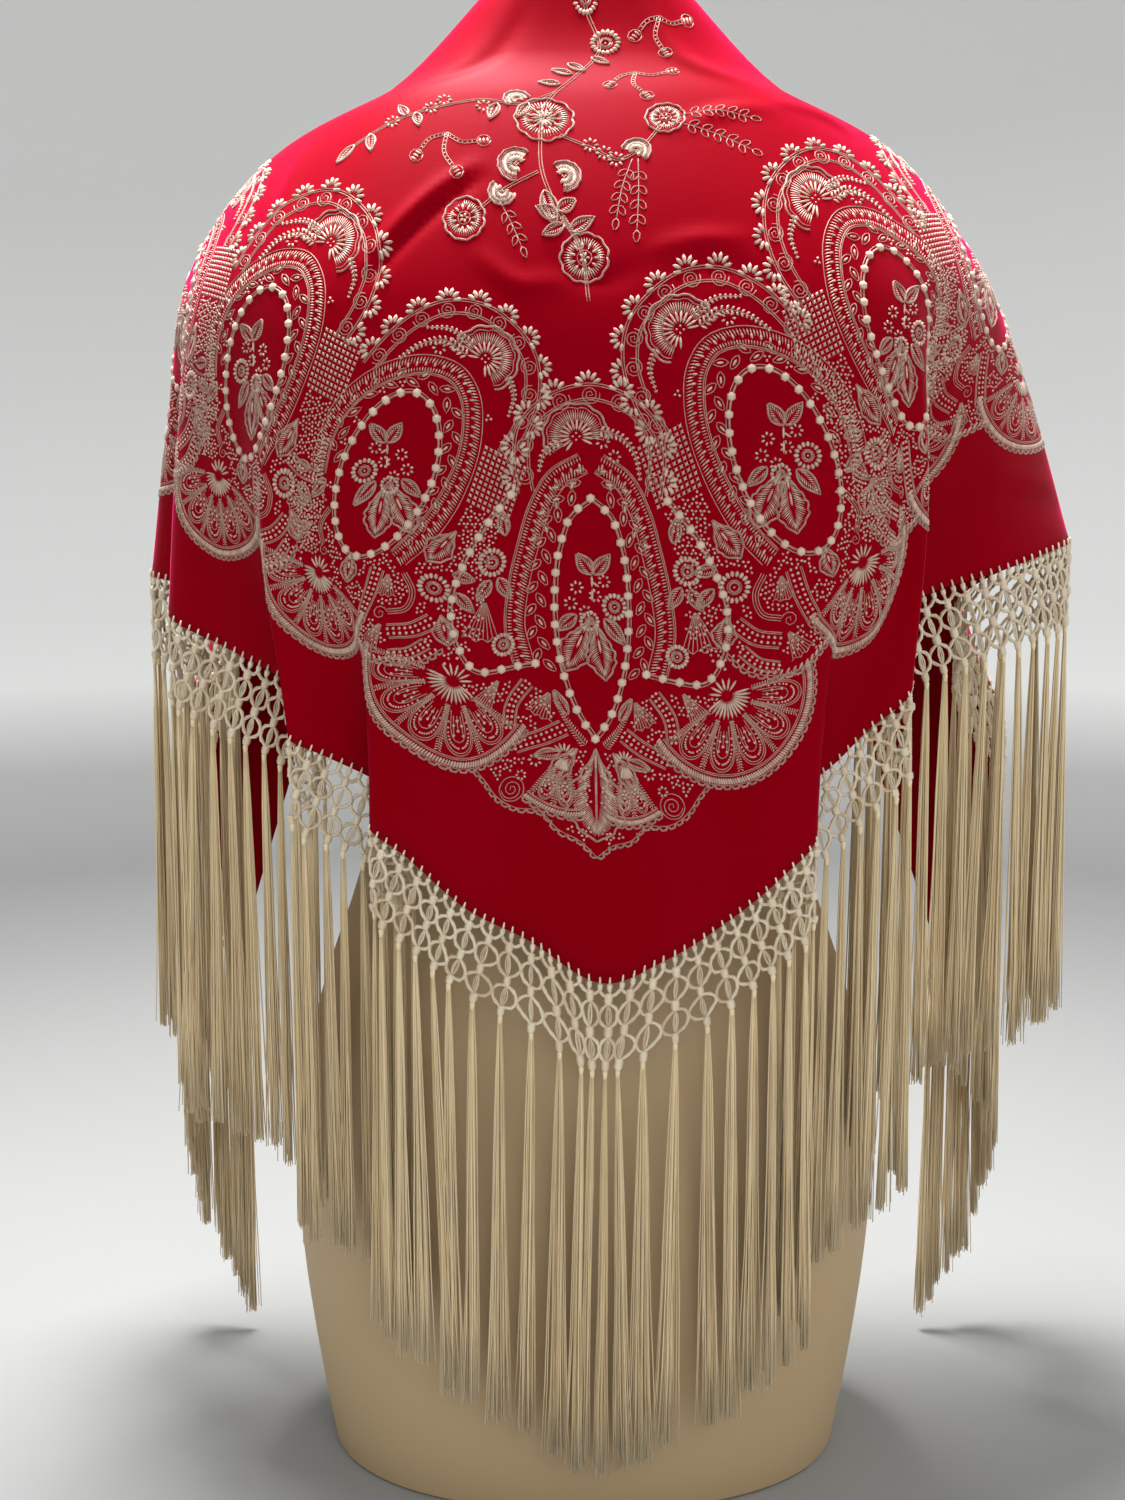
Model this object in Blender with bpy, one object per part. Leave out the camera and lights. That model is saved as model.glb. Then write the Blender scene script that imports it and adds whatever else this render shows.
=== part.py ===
"""A fringed, embroidered flamenco shawl, laid round the shoulders of a limbless dress form.

Units are metres and +Z is up. The origin is the middle of the form's flat base. The wearer's back, which
is the decorated side, faces -Y, and +X is the wearer's right. The cloth is one wide triangle: its long
edge passes round the neck, its point hangs at the back, and its two tips hang in front of the shoulders.
A knotted net with tassels follows its two short edges.
"""

import math

import bpy
import numpy as np

# The cloth as it was cut, laid flat. s runs along the long edge from its middle, t down from that edge.
HALF_WIDTH = 0.675
DEPTH = 0.545
LEG_BOW = 1.15  # above 1, the two short edges bow outwards

CLOTH_WALL = 0.0012
NET_WALL = 0.0020
SEAM_GAP = 0.0034  # between the hem and the net, measured straight down
NET_DROP = 0.052
TASSEL_FALL = 0.222
TASSELS_A_SIDE = 69
TASSEL_WIDTH = 0.0048
FLOOR_CLEARANCE = 0.006

# Places round one shoulder, as "turn" goes from 0 at the middle of the back to 1 at the front edge.
# Each ring is mirrored for the other shoulder. s and t are the flat cloth, x, y and z the worn cloth.
NECK_RING = [
    # turn   s      t      x      y       z
    (0.00, 0.000, 0.000, 0.000, -0.0530, 0.835),
    (0.28, 0.028, 0.000, 0.029, -0.0490, 0.834),
    (0.47, 0.050, 0.000, 0.048, -0.0330, 0.827),
    (0.65, 0.068, 0.000, 0.057, -0.0100, 0.816),
    (0.83, 0.086, 0.000, 0.063, 0.0120, 0.803),
    (1.00, 0.106, 0.000, 0.070, 0.0300, 0.789),
]
SHOULDER_RING = [
    # turn   s      t      x      y       z
    (0.00, 0.000, 0.085, 0.000, -0.0850, 0.757),
    (0.14, 0.052, 0.087, 0.052, -0.0810, 0.758),
    (0.28, 0.102, 0.089, 0.100, -0.0660, 0.757),
    (0.38, 0.139, 0.088, 0.134, -0.0460, 0.751),
    (0.47, 0.168, 0.085, 0.158, -0.0270, 0.745),
    (0.56, 0.192, 0.078, 0.174, -0.0090, 0.739),
    (0.65, 0.207, 0.067, 0.182, 0.0090, 0.733),
    (0.74, 0.213, 0.052, 0.178, 0.0290, 0.727),
    (0.83, 0.212, 0.034, 0.161, 0.0480, 0.723),
    (0.91, 0.206, 0.016, 0.138, 0.0610, 0.721),
    (1.00, 0.198, 0.000, 0.114, 0.0680, 0.720),
]
HANGING_RING = [
    # turn   s      t      x      y       z
    (0.00, 0.000, 0.200, 0.000, -0.1260, 0.652),
    (0.14, 0.060, 0.200, 0.060, -0.1245, 0.652),
    (0.28, 0.120, 0.196, 0.119, -0.1150, 0.655),
    (0.38, 0.163, 0.187, 0.158, -0.0960, 0.660),
    (0.47, 0.198, 0.173, 0.188, -0.0680, 0.668),
    (0.56, 0.228, 0.152, 0.209, -0.0340, 0.678),
    (0.65, 0.251, 0.126, 0.219, 0.0040, 0.686),
    (0.74, 0.270, 0.098, 0.214, 0.0420, 0.684),
    (0.83, 0.282, 0.066, 0.194, 0.0720, 0.675),
    (0.91, 0.288, 0.033, 0.168, 0.0920, 0.658),
    (1.00, 0.290, 0.000, 0.142, 0.1010, 0.638),
]

# One row for each fold line of the hanging cloth, from the left tip round the back to the right tip.
# half_x and half_y are halfway down it, and the hem's columns are its lower end.
FOLD_LINES = [
    # turn  half_x  half_y  hem_s   hem_x   hem_y   hem_z
    (-1.000, -0.166, 0.108, -0.675, -0.218, 0.112, 0.280),  # left tip
    (-0.960, -0.188, 0.112, -0.590, -0.250, 0.118, 0.352),
    (-0.910, -0.202, 0.100, -0.530, -0.254, 0.090, 0.415),  # front fold
    (-0.840, -0.208, 0.078, -0.475, -0.224, 0.068, 0.460),
    (-0.770, -0.214, 0.048, -0.430, -0.208, 0.036, 0.490),  # tucked in
    (-0.705, -0.233, 0.027, -0.390, -0.239, 0.038, 0.508),
    (-0.640, -0.236, 0.001, -0.352, -0.247, 0.004, 0.510),  # left outline
    (-0.595, -0.223, -0.016, -0.330, -0.214, -0.019, 0.503),  # tucked in
    (-0.545, -0.223, -0.039, -0.305, -0.229, -0.047, 0.493),  # left fold
    (-0.475, -0.203, -0.061, -0.268, -0.192, -0.066, 0.474),
    (-0.415, -0.181, -0.077, -0.235, -0.161, -0.079, 0.459),
    (-0.380, -0.172, -0.089, -0.217, -0.139, -0.090, 0.446),  # tucked in
    (-0.350, -0.167, -0.099, -0.198, -0.156, -0.105, 0.431),  # second left fold
    (-0.325, -0.156, -0.102, -0.184, -0.137, -0.102, 0.421),
    (-0.300, -0.145, -0.105, -0.167, -0.115, -0.099, 0.410),
    (-0.265, -0.128, -0.114, -0.140, -0.091, -0.111, 0.397),  # tucked in
    (-0.230, -0.110, -0.121, -0.114, -0.112, -0.125, 0.387),  # first left fold
    (-0.195, -0.092, -0.124, -0.094, -0.093, -0.130, 0.373),
    (-0.138, -0.064, -0.128, -0.070, -0.066, -0.132, 0.349),
    (-0.070, -0.031, -0.127, -0.034, -0.031, -0.128, 0.329),
    (0.000, 0.003, -0.129, 0.000, 0.006, -0.131, 0.307),  # point at the back
    (0.070, 0.034, -0.128, 0.036, 0.040, -0.132, 0.319),
    (0.138, 0.066, -0.125, 0.070, 0.071, -0.126, 0.337),
    (0.195, 0.096, -0.122, 0.102, 0.098, -0.131, 0.361),
    (0.240, 0.121, -0.117, 0.130, 0.118, -0.125, 0.383),  # first right fold
    (0.275, 0.138, -0.110, 0.157, 0.100, -0.113, 0.398),  # tucked in
    (0.310, 0.154, -0.103, 0.180, 0.126, -0.102, 0.414),
    (0.350, 0.163, -0.101, 0.208, 0.146, -0.102, 0.434),
    (0.400, 0.175, -0.101, 0.236, 0.169, -0.104, 0.457),  # second right fold
    (0.445, 0.166, -0.075, 0.270, 0.143, -0.081, 0.481),  # tucked in
    (0.495, 0.193, -0.060, 0.300, 0.179, -0.065, 0.502),
    (0.555, 0.224, -0.041, 0.335, 0.227, -0.050, 0.516),
    (0.640, 0.251, -0.004, 0.385, 0.275, -0.007, 0.530),  # right outline
    (0.715, 0.239, 0.029, 0.425, 0.264, 0.039, 0.520),
    (0.785, 0.216, 0.047, 0.462, 0.224, 0.041, 0.496),  # tucked in
    (0.850, 0.214, 0.077, 0.500, 0.239, 0.073, 0.464),
    (0.910, 0.207, 0.100, 0.545, 0.265, 0.090, 0.416),  # front fold
    (0.960, 0.190, 0.112, 0.600, 0.262, 0.119, 0.352),
    (1.000, 0.168, 0.108, 0.675, 0.226, 0.112, 0.280),  # right tip
]
SHOULDER_SAG = 0.013  # how far the cloth sinks between the neck and the shoulder
COLUMNS_PER_FOLD_LINE = 3
ROWS_TO_SLOPE = 2
ROWS_TO_SHOULDER = 2
ROWS_TO_HANGING = 3
ROWS_TO_HALFWAY = 4
ROWS_TO_HEM = 4
ROWS_BETWEEN = (ROWS_TO_SLOPE, ROWS_TO_SHOULDER, ROWS_TO_HANGING, ROWS_TO_HALFWAY, ROWS_TO_HEM)

# The dress form, as rounded sections from its flat base to its flat neck.
FORM_SECTIONS = [
    # height  half_width  back   front
    (0.000, 0.1500, 0.1080, 0.1110),
    (0.060, 0.1600, 0.1130, 0.1140),
    (0.120, 0.1675, 0.1160, 0.1140),
    (0.170, 0.1700, 0.1160, 0.1130),
    (0.230, 0.1640, 0.1090, 0.1090),
    (0.290, 0.1480, 0.0970, 0.1030),
    (0.340, 0.1310, 0.0860, 0.0970),
    (0.390, 0.1220, 0.0800, 0.0940),
    (0.440, 0.1260, 0.0840, 0.1000),
    (0.500, 0.1390, 0.0940, 0.1140),
    (0.560, 0.1500, 0.1030, 0.1220),
    (0.610, 0.1610, 0.1110, 0.1120),
    (0.650, 0.1790, 0.1150, 0.0960),
    (0.680, 0.1890, 0.1090, 0.0860),
    (0.704, 0.1920, 0.0985, 0.0760),
    (0.723, 0.1840, 0.0900, 0.0640),
    (0.739, 0.1580, 0.0870, 0.0520),
    (0.754, 0.1220, 0.0820, 0.0440),
    (0.768, 0.0920, 0.0755, 0.0415),
    (0.784, 0.0680, 0.0665, 0.0425),
    (0.804, 0.0540, 0.0550, 0.0440),
    (0.830, 0.0480, 0.0470, 0.0450),
    (0.862, 0.0465, 0.0440, 0.0450),
]
FORM_POINTS_ROUND = 40
FORM_SQUARENESS = 2.25  # 2 is a true ellipse

RED_SILK = (0.62, 0.004, 0.035, 1.0)
CREAM_SILK = (0.78, 0.70, 0.52, 1.0)
FORM_BEIGE = (0.62, 0.50, 0.39, 1.0)


def leg_depth(s):
    """How far down the flat cloth reaches at s: the curve of its two short edges."""
    return DEPTH * (1 - (np.abs(s) / HALF_WIDTH) ** LEG_BOW)


def smooth_curve(knots, values, at):
    """A smooth curve through rows of values, one row at each knot, read at the places in at."""
    knots, values, at = (np.asarray(a, float) for a in (knots, values, at))
    steps = np.diff(knots)
    slopes = np.diff(values, axis=0) / steps[:, None]
    weight = (steps[1:] / (steps[1:] + steps[:-1]))[:, None]
    inner = slopes[:-1] * weight + slopes[1:] * (1 - weight)
    tangents = np.vstack([slopes[:1], inner, slopes[-1:]])
    i = np.clip(np.searchsorted(knots, at, side="right") - 1, 0, len(steps) - 1)
    h = steps[i][:, None]
    f = ((at - knots[i]) / steps[i])[:, None]
    return (
        values[i] * (2 * f**3 - 3 * f**2 + 1)
        + tangents[i] * h * (f**3 - 2 * f**2 + f)
        + values[i + 1] * (3 * f**2 - 2 * f**3)
        + tangents[i + 1] * h * (f**3 - f**2)
    )


def ring_places(ring, turns):
    """Rows of s, t, x, y, z on a ring, mirrored where the turn is to the left, which is negative."""
    rows = np.array(ring)
    mirror = np.array([-1, 1, -1, 1, 1])
    knots = np.concatenate([-rows[:0:-1, 0], rows[:, 0]])
    values = np.vstack([rows[:0:-1, 1:] * mirror, rows[:, 1:]])
    return smooth_curve(knots, values, turns)


def drape_stations(hem_s):
    """Six places down each drape line, as an array of (line, place, [s, t, x, y, z])."""
    lines = np.array(FOLD_LINES)
    turn, half_x, half_y, _, hem_x, hem_y, hem_z = smooth_curve(lines[:, 3], lines, hem_s).T
    neck, shoulder, hanging = (ring_places(r, turn) for r in (NECK_RING, SHOULDER_RING, HANGING_RING))
    hem = np.column_stack([hem_s, leg_depth(hem_s), hem_x, hem_y, hem_z])
    slope = (neck + shoulder) / 2
    slope[:, 4] -= SHOULDER_SAG
    halfway = (hanging + hem) / 2
    halfway[:, 2] = half_x
    halfway[:, 3] = half_y
    return np.stack([neck, slope, shoulder, hanging, halfway, hem], axis=1)


def drape_line_samples():
    """The flat hem position of each column of the cloth: a few between one fold line and the next."""
    hems = [row[3] for row in FOLD_LINES]
    samples = []
    for here, there in zip(hems, hems[1:]):
        for step in range(COLUMNS_PER_FOLD_LINE):
            samples.append(here + (there - here) * step / COLUMNS_PER_FOLD_LINE)
    return np.array(samples + [hems[-1]])


def draped_cloth(hem_s, rows_between=ROWS_BETWEEN):
    """The cloth's middle surface: (column, row, [s, t, x, y, z]), from the neck edge down to the hem."""
    stations = drape_stations(hem_s)
    columns = []
    for places in stations:
        lengths = np.linalg.norm(np.diff(places[:, 2:], axis=0), axis=1)
        knots = np.concatenate([[0], np.cumsum(lengths)])
        at = [knots[0]]
        for k, count in enumerate(rows_between):
            at += list(knots[k] + lengths[k] * np.arange(1, count + 1) / count)
        columns.append(smooth_curve(knots, places, np.array(at)))
    return np.array(columns)


def outward_normals(points):
    """The unit normal at each point of a (column, row) grid, pointing away from the wearer."""
    along = np.gradient(points, axis=0)
    down = np.gradient(points, axis=1)
    normal = np.cross(down, along)
    return normal / np.linalg.norm(normal, axis=2, keepdims=True)


def named_object(name, vertices, faces, colour, roughness):
    mesh = bpy.data.meshes.new(name)
    mesh.from_pydata([tuple(map(float, v)) for v in vertices], [], faces)
    mesh.validate()
    mesh.shade_smooth()
    mesh.set_sharp_from_angle(angle=math.radians(50))
    obj = bpy.data.objects.new(name, mesh)
    bpy.context.scene.collection.objects.link(obj)
    material = bpy.data.materials.new(name)
    material.use_nodes = True
    shader = material.node_tree.nodes["Principled BSDF"]
    shader.inputs["Base Color"].default_value = colour
    shader.inputs["Roughness"].default_value = roughness
    shader.inputs["Metallic"].default_value = 0.0
    mesh.materials.append(material)
    return obj


def walled_sheet(outer, inner):
    """Vertices and faces of a closed wall between two grids of the same shape, outer faces outwards."""
    columns, rows = outer.shape[:2]
    vertices = np.vstack([outer.reshape(-1, 3), inner.reshape(-1, 3)])
    shift = columns * rows
    faces = []
    for i in range(columns - 1):
        for j in range(rows - 1):
            a, b = i * rows + j, (i + 1) * rows + j
            faces.append((a, a + 1, b + 1, b))
            faces.append((a + shift, b + shift, b + 1 + shift, a + 1 + shift))
    rim = [i * rows for i in range(columns)]
    rim += [(columns - 1) * rows + j for j in range(1, rows)]
    rim += [i * rows + rows - 1 for i in range(columns - 2, -1, -1)]
    rim += [j for j in range(rows - 2, 0, -1)]
    for here, there in zip(rim, rim[1:] + rim[:1]):
        faces.append((here, there, there + shift, here + shift))
    return vertices, faces


def shawl_cloth():
    """The silk triangle itself, a thin wall with all its folds."""
    middle = draped_cloth(drape_line_samples())[:, :, 2:]
    offset = outward_normals(middle) * CLOTH_WALL / 2
    vertices, faces = walled_sheet(middle + offset, middle - offset)
    return named_object("shawl_cloth", vertices, faces, RED_SILK, 0.45)


def hem_path():
    """The hem as it is worn: its length so far, place and outward direction, at each column."""
    middle = draped_cloth(drape_line_samples())[:, :, 2:]
    hem = middle[:, -1]
    outward = outward_normals(middle)[:, -1] * np.array([1, 1, 0])
    outward /= np.linalg.norm(outward, axis=1, keepdims=True)
    length = np.concatenate([[0], np.cumsum(np.linalg.norm(np.diff(hem, axis=0), axis=1))])
    return length, hem, outward


def tassel_sections(root, outward, room, rng):
    """The rings of one tassel below its root: each is a centre, a half width along the hem and a half depth.

    It is gathered at its knot, swells, and thins to its cut end. room is its share of the hem, seen from above.
    """
    widest = min(TASSEL_WIDTH, 0.72 * room) / 2
    top = root[2]
    end = max(FLOOR_CLEARANCE, top - TASSEL_FALL - rng.uniform(0, 0.006))
    sway = rng.uniform(-1, 1, 2) * 0.22 * max(room - 2 * widest, 0)
    shape = [  # share of the fall, share of the width, share of the depth
        (0.03, 0.50, 0.75),
        (0.20, 1.00, 1.00),
        (1.00, 0.80, 0.75),
    ]
    sections = []
    for fall, wide, deep in shape:
        centre = root + np.array([sway[0] * fall, sway[1] * fall, 0])
        centre[2] = top + (end - top) * fall
        sections.append((centre, widest * wide, NET_WALL * 0.75 * deep))
    return sections


def net_with_tassels(name, side):
    """The knotted net below one short edge, as one narrow wall, and the tassels that hang from it."""
    length, hem, outward = hem_path()
    lines = [row[3] for row in FOLD_LINES]
    point = length[lines.index(0.0) * COLUMNS_PER_FOLD_LINE]
    start, stop = (point, length[-1]) if side > 0 else (0.0, point)
    half_seam = 0.0004
    start, stop = start + half_seam, stop - half_seam
    pitch = (stop - start) / TASSELS_A_SIDE
    rng = np.random.default_rng(7 + side)

    def at(distance):
        place = np.array([np.interp(distance, length, hem[:, k]) for k in range(3)])
        direction = np.array([np.interp(distance, length, outward[:, k]) for k in range(3)])
        return place, direction / np.linalg.norm(direction)

    marks = []
    for k in range(TASSELS_A_SIDE):
        middle = start + (k + 0.5) * pitch
        marks += [middle - 0.27 * pitch, middle + 0.27 * pitch]
    marks = [start] + marks + [stop]
    vertices, faces = [], []
    for mark in marks:
        place, direction = at(mark)
        for drop in (SEAM_GAP, NET_DROP):
            for reach in (NET_WALL / 2, -NET_WALL / 2):
                vertices.append(place + direction * reach - np.array([0, 0, drop]))
    for i in range(len(marks) - 1):
        a, b = 4 * i, 4 * (i + 1)
        faces.append((a, a + 2, b + 2, b))
        faces.append((a + 1, b + 1, b + 3, a + 3))
        faces.append((a, b, b + 1, a + 1))
        if i % 2 == 0:
            faces.append((a + 2, a + 3, b + 3, b + 2))
    faces.append((0, 1, 3, 2))
    last = 4 * (len(marks) - 1)
    faces.append((last, last + 2, last + 3, last + 1))

    for k in range(TASSELS_A_SIDE):
        a, b = 4 * (2 * k + 1), 4 * (2 * k + 2)
        ring = [a + 2, a + 3, b + 3, b + 2]
        root = sum(np.array(vertices[i]) for i in ring) / 4
        (left, _), (right, _) = at(marks[2 * k + 1]), at(marks[2 * k + 2])
        before, after = at(start + k * pitch)[0], at(start + (k + 1) * pitch)[0]
        room = math.dist(before[:2], after[:2])
        along = (right - left) * np.array([1, 1, 0])
        along /= np.linalg.norm(along)
        away = np.array([along[1], -along[0], 0])
        if np.dot(away, at(start + (k + 0.5) * pitch)[1]) < 0:
            away = -away
        for centre, wide, deep in tassel_sections(root, away, room, rng):
            first = len(vertices)
            vertices += [
                centre - along * wide + away * deep,
                centre - along * wide - away * deep,
                centre + along * wide - away * deep,
                centre + along * wide + away * deep,
            ]
            below = [first, first + 1, first + 2, first + 3]
            for i in range(4):
                j = (i + 1) % 4
                faces.append((ring[i], ring[j], below[j], below[i]))
            ring = below
        faces.append(tuple(ring))
    return named_object(name, vertices, faces, CREAM_SILK, 0.6)


def dress_form():
    """The limbless form: a smooth torso on its flat base, with closed shoulders and a flat neck."""
    angles = np.linspace(0, 2 * math.pi, FORM_POINTS_ROUND, endpoint=False)
    vertices = []
    for height, half_width, back, front in FORM_SECTIONS:
        for angle in angles:
            cos, sin = math.cos(angle), math.sin(angle)
            reach = (abs(cos) ** FORM_SQUARENESS + abs(sin) ** FORM_SQUARENESS) ** (-1 / FORM_SQUARENESS)
            depth = front if sin > 0 else back
            vertices.append((half_width * reach * cos, depth * reach * sin, height))
    faces = []
    n = FORM_POINTS_ROUND
    for level in range(len(FORM_SECTIONS) - 1):
        for i in range(n):
            j = (i + 1) % n
            a, b = level * n, (level + 1) * n
            faces.append((a + i, a + j, b + j, b + i))
    faces.append(tuple(reversed(range(n))))
    top = (len(FORM_SECTIONS) - 1) * n
    faces.append(tuple(top + i for i in range(n)))
    return named_object("dress_form", vertices, faces, FORM_BEIGE, 0.5)


def main():
    for obj in list(bpy.data.objects):
        bpy.data.objects.remove(obj)
    dress_form()
    shawl_cloth()
    net_with_tassels("net_fringe_left", -1)
    net_with_tassels("net_fringe_right", 1)


main()
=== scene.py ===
"""The looks of an embroidered, fringed flamenco shawl, laid round the shoulders of a limbless dress form.

Units are metres, +Z is up, and the decorated back of the shawl faces -Y. The cloth, its embroidery, the knotted
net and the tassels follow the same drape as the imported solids, from the same tables.
"""

import math

import bpy
import numpy as np
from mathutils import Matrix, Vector, kdtree


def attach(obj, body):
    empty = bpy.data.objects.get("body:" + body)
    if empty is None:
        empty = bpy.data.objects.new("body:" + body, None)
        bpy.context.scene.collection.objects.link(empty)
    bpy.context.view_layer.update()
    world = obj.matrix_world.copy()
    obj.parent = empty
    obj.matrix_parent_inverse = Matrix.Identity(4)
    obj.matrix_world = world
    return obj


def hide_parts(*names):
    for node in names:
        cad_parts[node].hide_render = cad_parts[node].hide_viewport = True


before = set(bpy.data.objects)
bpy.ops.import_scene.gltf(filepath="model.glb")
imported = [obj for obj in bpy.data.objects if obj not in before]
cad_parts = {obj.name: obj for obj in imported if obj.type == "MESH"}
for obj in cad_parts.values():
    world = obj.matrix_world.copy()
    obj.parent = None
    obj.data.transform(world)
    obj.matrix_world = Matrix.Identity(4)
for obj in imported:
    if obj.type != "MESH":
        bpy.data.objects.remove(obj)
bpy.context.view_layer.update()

# The dress form
# A limbless display torso: one smooth hollow moulding of matte plastic, closed at the shoulders and cut flat
# at the neck. It stands on its own flat base and carries the cloth.
FORM_SECTIONS = [
    # height  half_width  back   front
    (0.000, 0.1500, 0.1080, 0.1110),
    (0.060, 0.1600, 0.1130, 0.1140),
    (0.120, 0.1675, 0.1160, 0.1140),
    (0.170, 0.1700, 0.1160, 0.1130),
    (0.230, 0.1640, 0.1090, 0.1090),
    (0.290, 0.1480, 0.0970, 0.1030),
    (0.340, 0.1310, 0.0860, 0.0970),
    (0.390, 0.1220, 0.0800, 0.0940),
    (0.440, 0.1260, 0.0840, 0.1000),
    (0.500, 0.1390, 0.0940, 0.1140),
    (0.560, 0.1500, 0.1030, 0.1220),
    (0.610, 0.1610, 0.1110, 0.1120),
    (0.650, 0.1790, 0.1150, 0.0960),
    (0.680, 0.1890, 0.1090, 0.0860),
    (0.704, 0.1920, 0.0985, 0.0760),
    (0.723, 0.1840, 0.0900, 0.0640),
    (0.739, 0.1580, 0.0870, 0.0520),
    (0.754, 0.1220, 0.0820, 0.0440),
    (0.768, 0.0920, 0.0755, 0.0415),
    (0.784, 0.0680, 0.0665, 0.0425),
    (0.804, 0.0540, 0.0550, 0.0440),
    (0.830, 0.0480, 0.0470, 0.0450),
    (0.862, 0.0465, 0.0440, 0.0450),
]
FORM_SQUARENESS = 2.25  # 2 is a true ellipse
FORM_POINTS_ROUND = 96
FORM_LEVELS_A_SECTION = 3
FORM_BASE_ROUNDING = 0.0018
FORM_BEIGE = (0.480, 0.350, 0.195, 1)
FORM_BEIGE_WARM = (0.520, 0.370, 0.205, 1)


class Value:
    """A socket of a material. Plain arithmetic on it adds Math nodes."""

    def __init__(self, finish, socket):
        self.finish, self.socket = finish, socket

    def math(self, operation, *numbers):
        return self.finish.node("ShaderNodeMath", {"operation": operation}, numbers)

    def __add__(self, other):
        return self.math("ADD", self, other)

    def __mul__(self, other):
        return self.math("MULTIPLY", self, other)

    def __sub__(self, other):
        return self.math("SUBTRACT", self, other)

    def __rsub__(self, other):
        return self.math("SUBTRACT", other, self)

    __radd__, __rmul__ = __add__, __mul__


class Finish:
    """A material with one Principled shader, and one way to add any other node to it."""

    def __init__(self, name, colour, **shader_values):
        self.material = bpy.data.materials.new(name)
        self.material.use_nodes = True
        self.material.diffuse_color = colour
        self.tree = self.material.node_tree
        self.shader = self.tree.nodes["Principled BSDF"]
        self.shader.inputs["Base Color"].default_value = colour
        for socket, value in shader_values.items():
            self.shader.inputs[socket.replace("_", " ")].default_value = value

    def node(self, kind, settings=(), sockets=(), output=0):
        """Any other node: its type, its settings, and the values or links of its sockets."""
        made = self.tree.nodes.new(kind)
        for setting, value in dict(settings).items():
            setattr(made, setting, value)
        pairs = sockets.items() if isinstance(sockets, dict) else enumerate(sockets)
        for socket, value in pairs:
            self.feed(made.inputs[socket], value)
        return Value(self, made.outputs[output])

    def feed(self, socket, value):
        if isinstance(value, Value):
            self.tree.links.new(value.socket, socket)
        else:
            socket.default_value = value

    def object_place(self):
        """The Object output of Texture Coordinate."""
        return self.node("ShaderNodeTexCoord", output=3)

    def thread_tone(self):
        """The Factor output of the tone attribute, which is 0 on the darkest thread and 1 on the palest."""
        return self.node("ShaderNodeAttribute", {"attribute_name": "tone"}, output=2)

    def blend(self, factor, first, second):
        """The first colour where the factor is 0 and the second where it is 1. Sockets 6 and 7 are colours."""
        return self.node("ShaderNodeMix", {"data_type": "RGBA"}, {0: factor, 6: first, 7: second}, output=2)

    def noise(self, place, scale, detail=2.0):
        return self.node("ShaderNodeTexNoise", {}, {"Vector": place, "Scale": scale, "Detail": detail})

    def bump(self, height, strength, distance):
        sockets = {"Strength": strength, "Distance": distance, "Height": height}
        self.set("Normal", self.node("ShaderNodeBump", {}, sockets))

    def set(self, socket, value):
        self.feed(self.shader.inputs[socket], value)


def smooth_curve(knots, values, at):
    """A smooth curve through rows of values, one row at each knot, read at the places in at."""
    knots, values, at = (np.asarray(a, float) for a in (knots, values, at))
    steps = np.diff(knots)
    slopes = np.diff(values, axis=0) / steps[:, None]
    weight = (steps[1:] / (steps[1:] + steps[:-1]))[:, None]
    inner = slopes[:-1] * weight + slopes[1:] * (1 - weight)
    tangents = np.vstack([slopes[:1], inner, slopes[-1:]])
    i = np.clip(np.searchsorted(knots, at, side="right") - 1, 0, len(steps) - 1)
    h = steps[i][:, None]
    f = ((at - knots[i]) / steps[i])[:, None]
    return (
        values[i] * (2 * f**3 - 3 * f**2 + 1)
        + tangents[i] * h * (f**3 - 2 * f**2 + f)
        + values[i + 1] * (3 * f**2 - 2 * f**3)
        + tangents[i + 1] * h * (f**3 - f**2)
    )


bpy.ops.object.select_all(action="DESELECT")
bpy.ops.mesh.primitive_circle_add(vertices=FORM_POINTS_ROUND, radius=1, fill_type="NGON")
form = bpy.context.object
form.name = form.data.name = "dress_form_skin"
for corner in form.data.vertices:
    x, y = corner.co.x, corner.co.y
    reach = (abs(x) ** FORM_SQUARENESS + abs(y) ** FORM_SQUARENESS) ** (-1 / FORM_SQUARENESS)
    corner.co = (x * reach, y * reach, 0)
sections = np.array(FORM_SECTIONS)
levels = np.interp(
    np.arange((len(sections) - 1) * FORM_LEVELS_A_SECTION + 1) / FORM_LEVELS_A_SECTION,
    range(len(sections)),
    sections[:, 0],
)
rings = smooth_curve(sections[:, 0], sections, levels)
bpy.ops.object.mode_set(mode="EDIT")
bpy.ops.mesh.select_all(action="SELECT")
height, half_width, back = 0.0, 1.0, 1.0
for ring in rings:
    if ring[0] > 0:
        bpy.ops.mesh.extrude_region_move(TRANSFORM_OT_translate={"value": (0, 0, ring[0] - height)})
    bpy.ops.transform.resize(value=(ring[1] / half_width, ring[2] / back, 1), center_override=(0, 0, ring[0]))
    height, half_width, back = ring[:3]
bpy.ops.object.mode_set(mode="OBJECT")
ring_heights = rings[:, 0]
for corner in form.data.vertices:
    if corner.co.y > 0:
        corner.co.y *= np.interp(corner.co.z, ring_heights, rings[:, 3] / rings[:, 2])
bpy.ops.object.mode_set(mode="EDIT")
bpy.ops.mesh.select_all(action="SELECT")
bpy.ops.mesh.normals_make_consistent(inside=False)
bpy.ops.object.mode_set(mode="OBJECT")
rounding = form.modifiers.new("rounded base and neck", "BEVEL")
rounding.width, rounding.segments, rounding.angle_limit = FORM_BASE_ROUNDING, 3, math.radians(60)
bpy.ops.object.modifier_apply(modifier=rounding.name)
bpy.ops.object.shade_smooth_by_angle(angle=math.radians(50))

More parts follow.
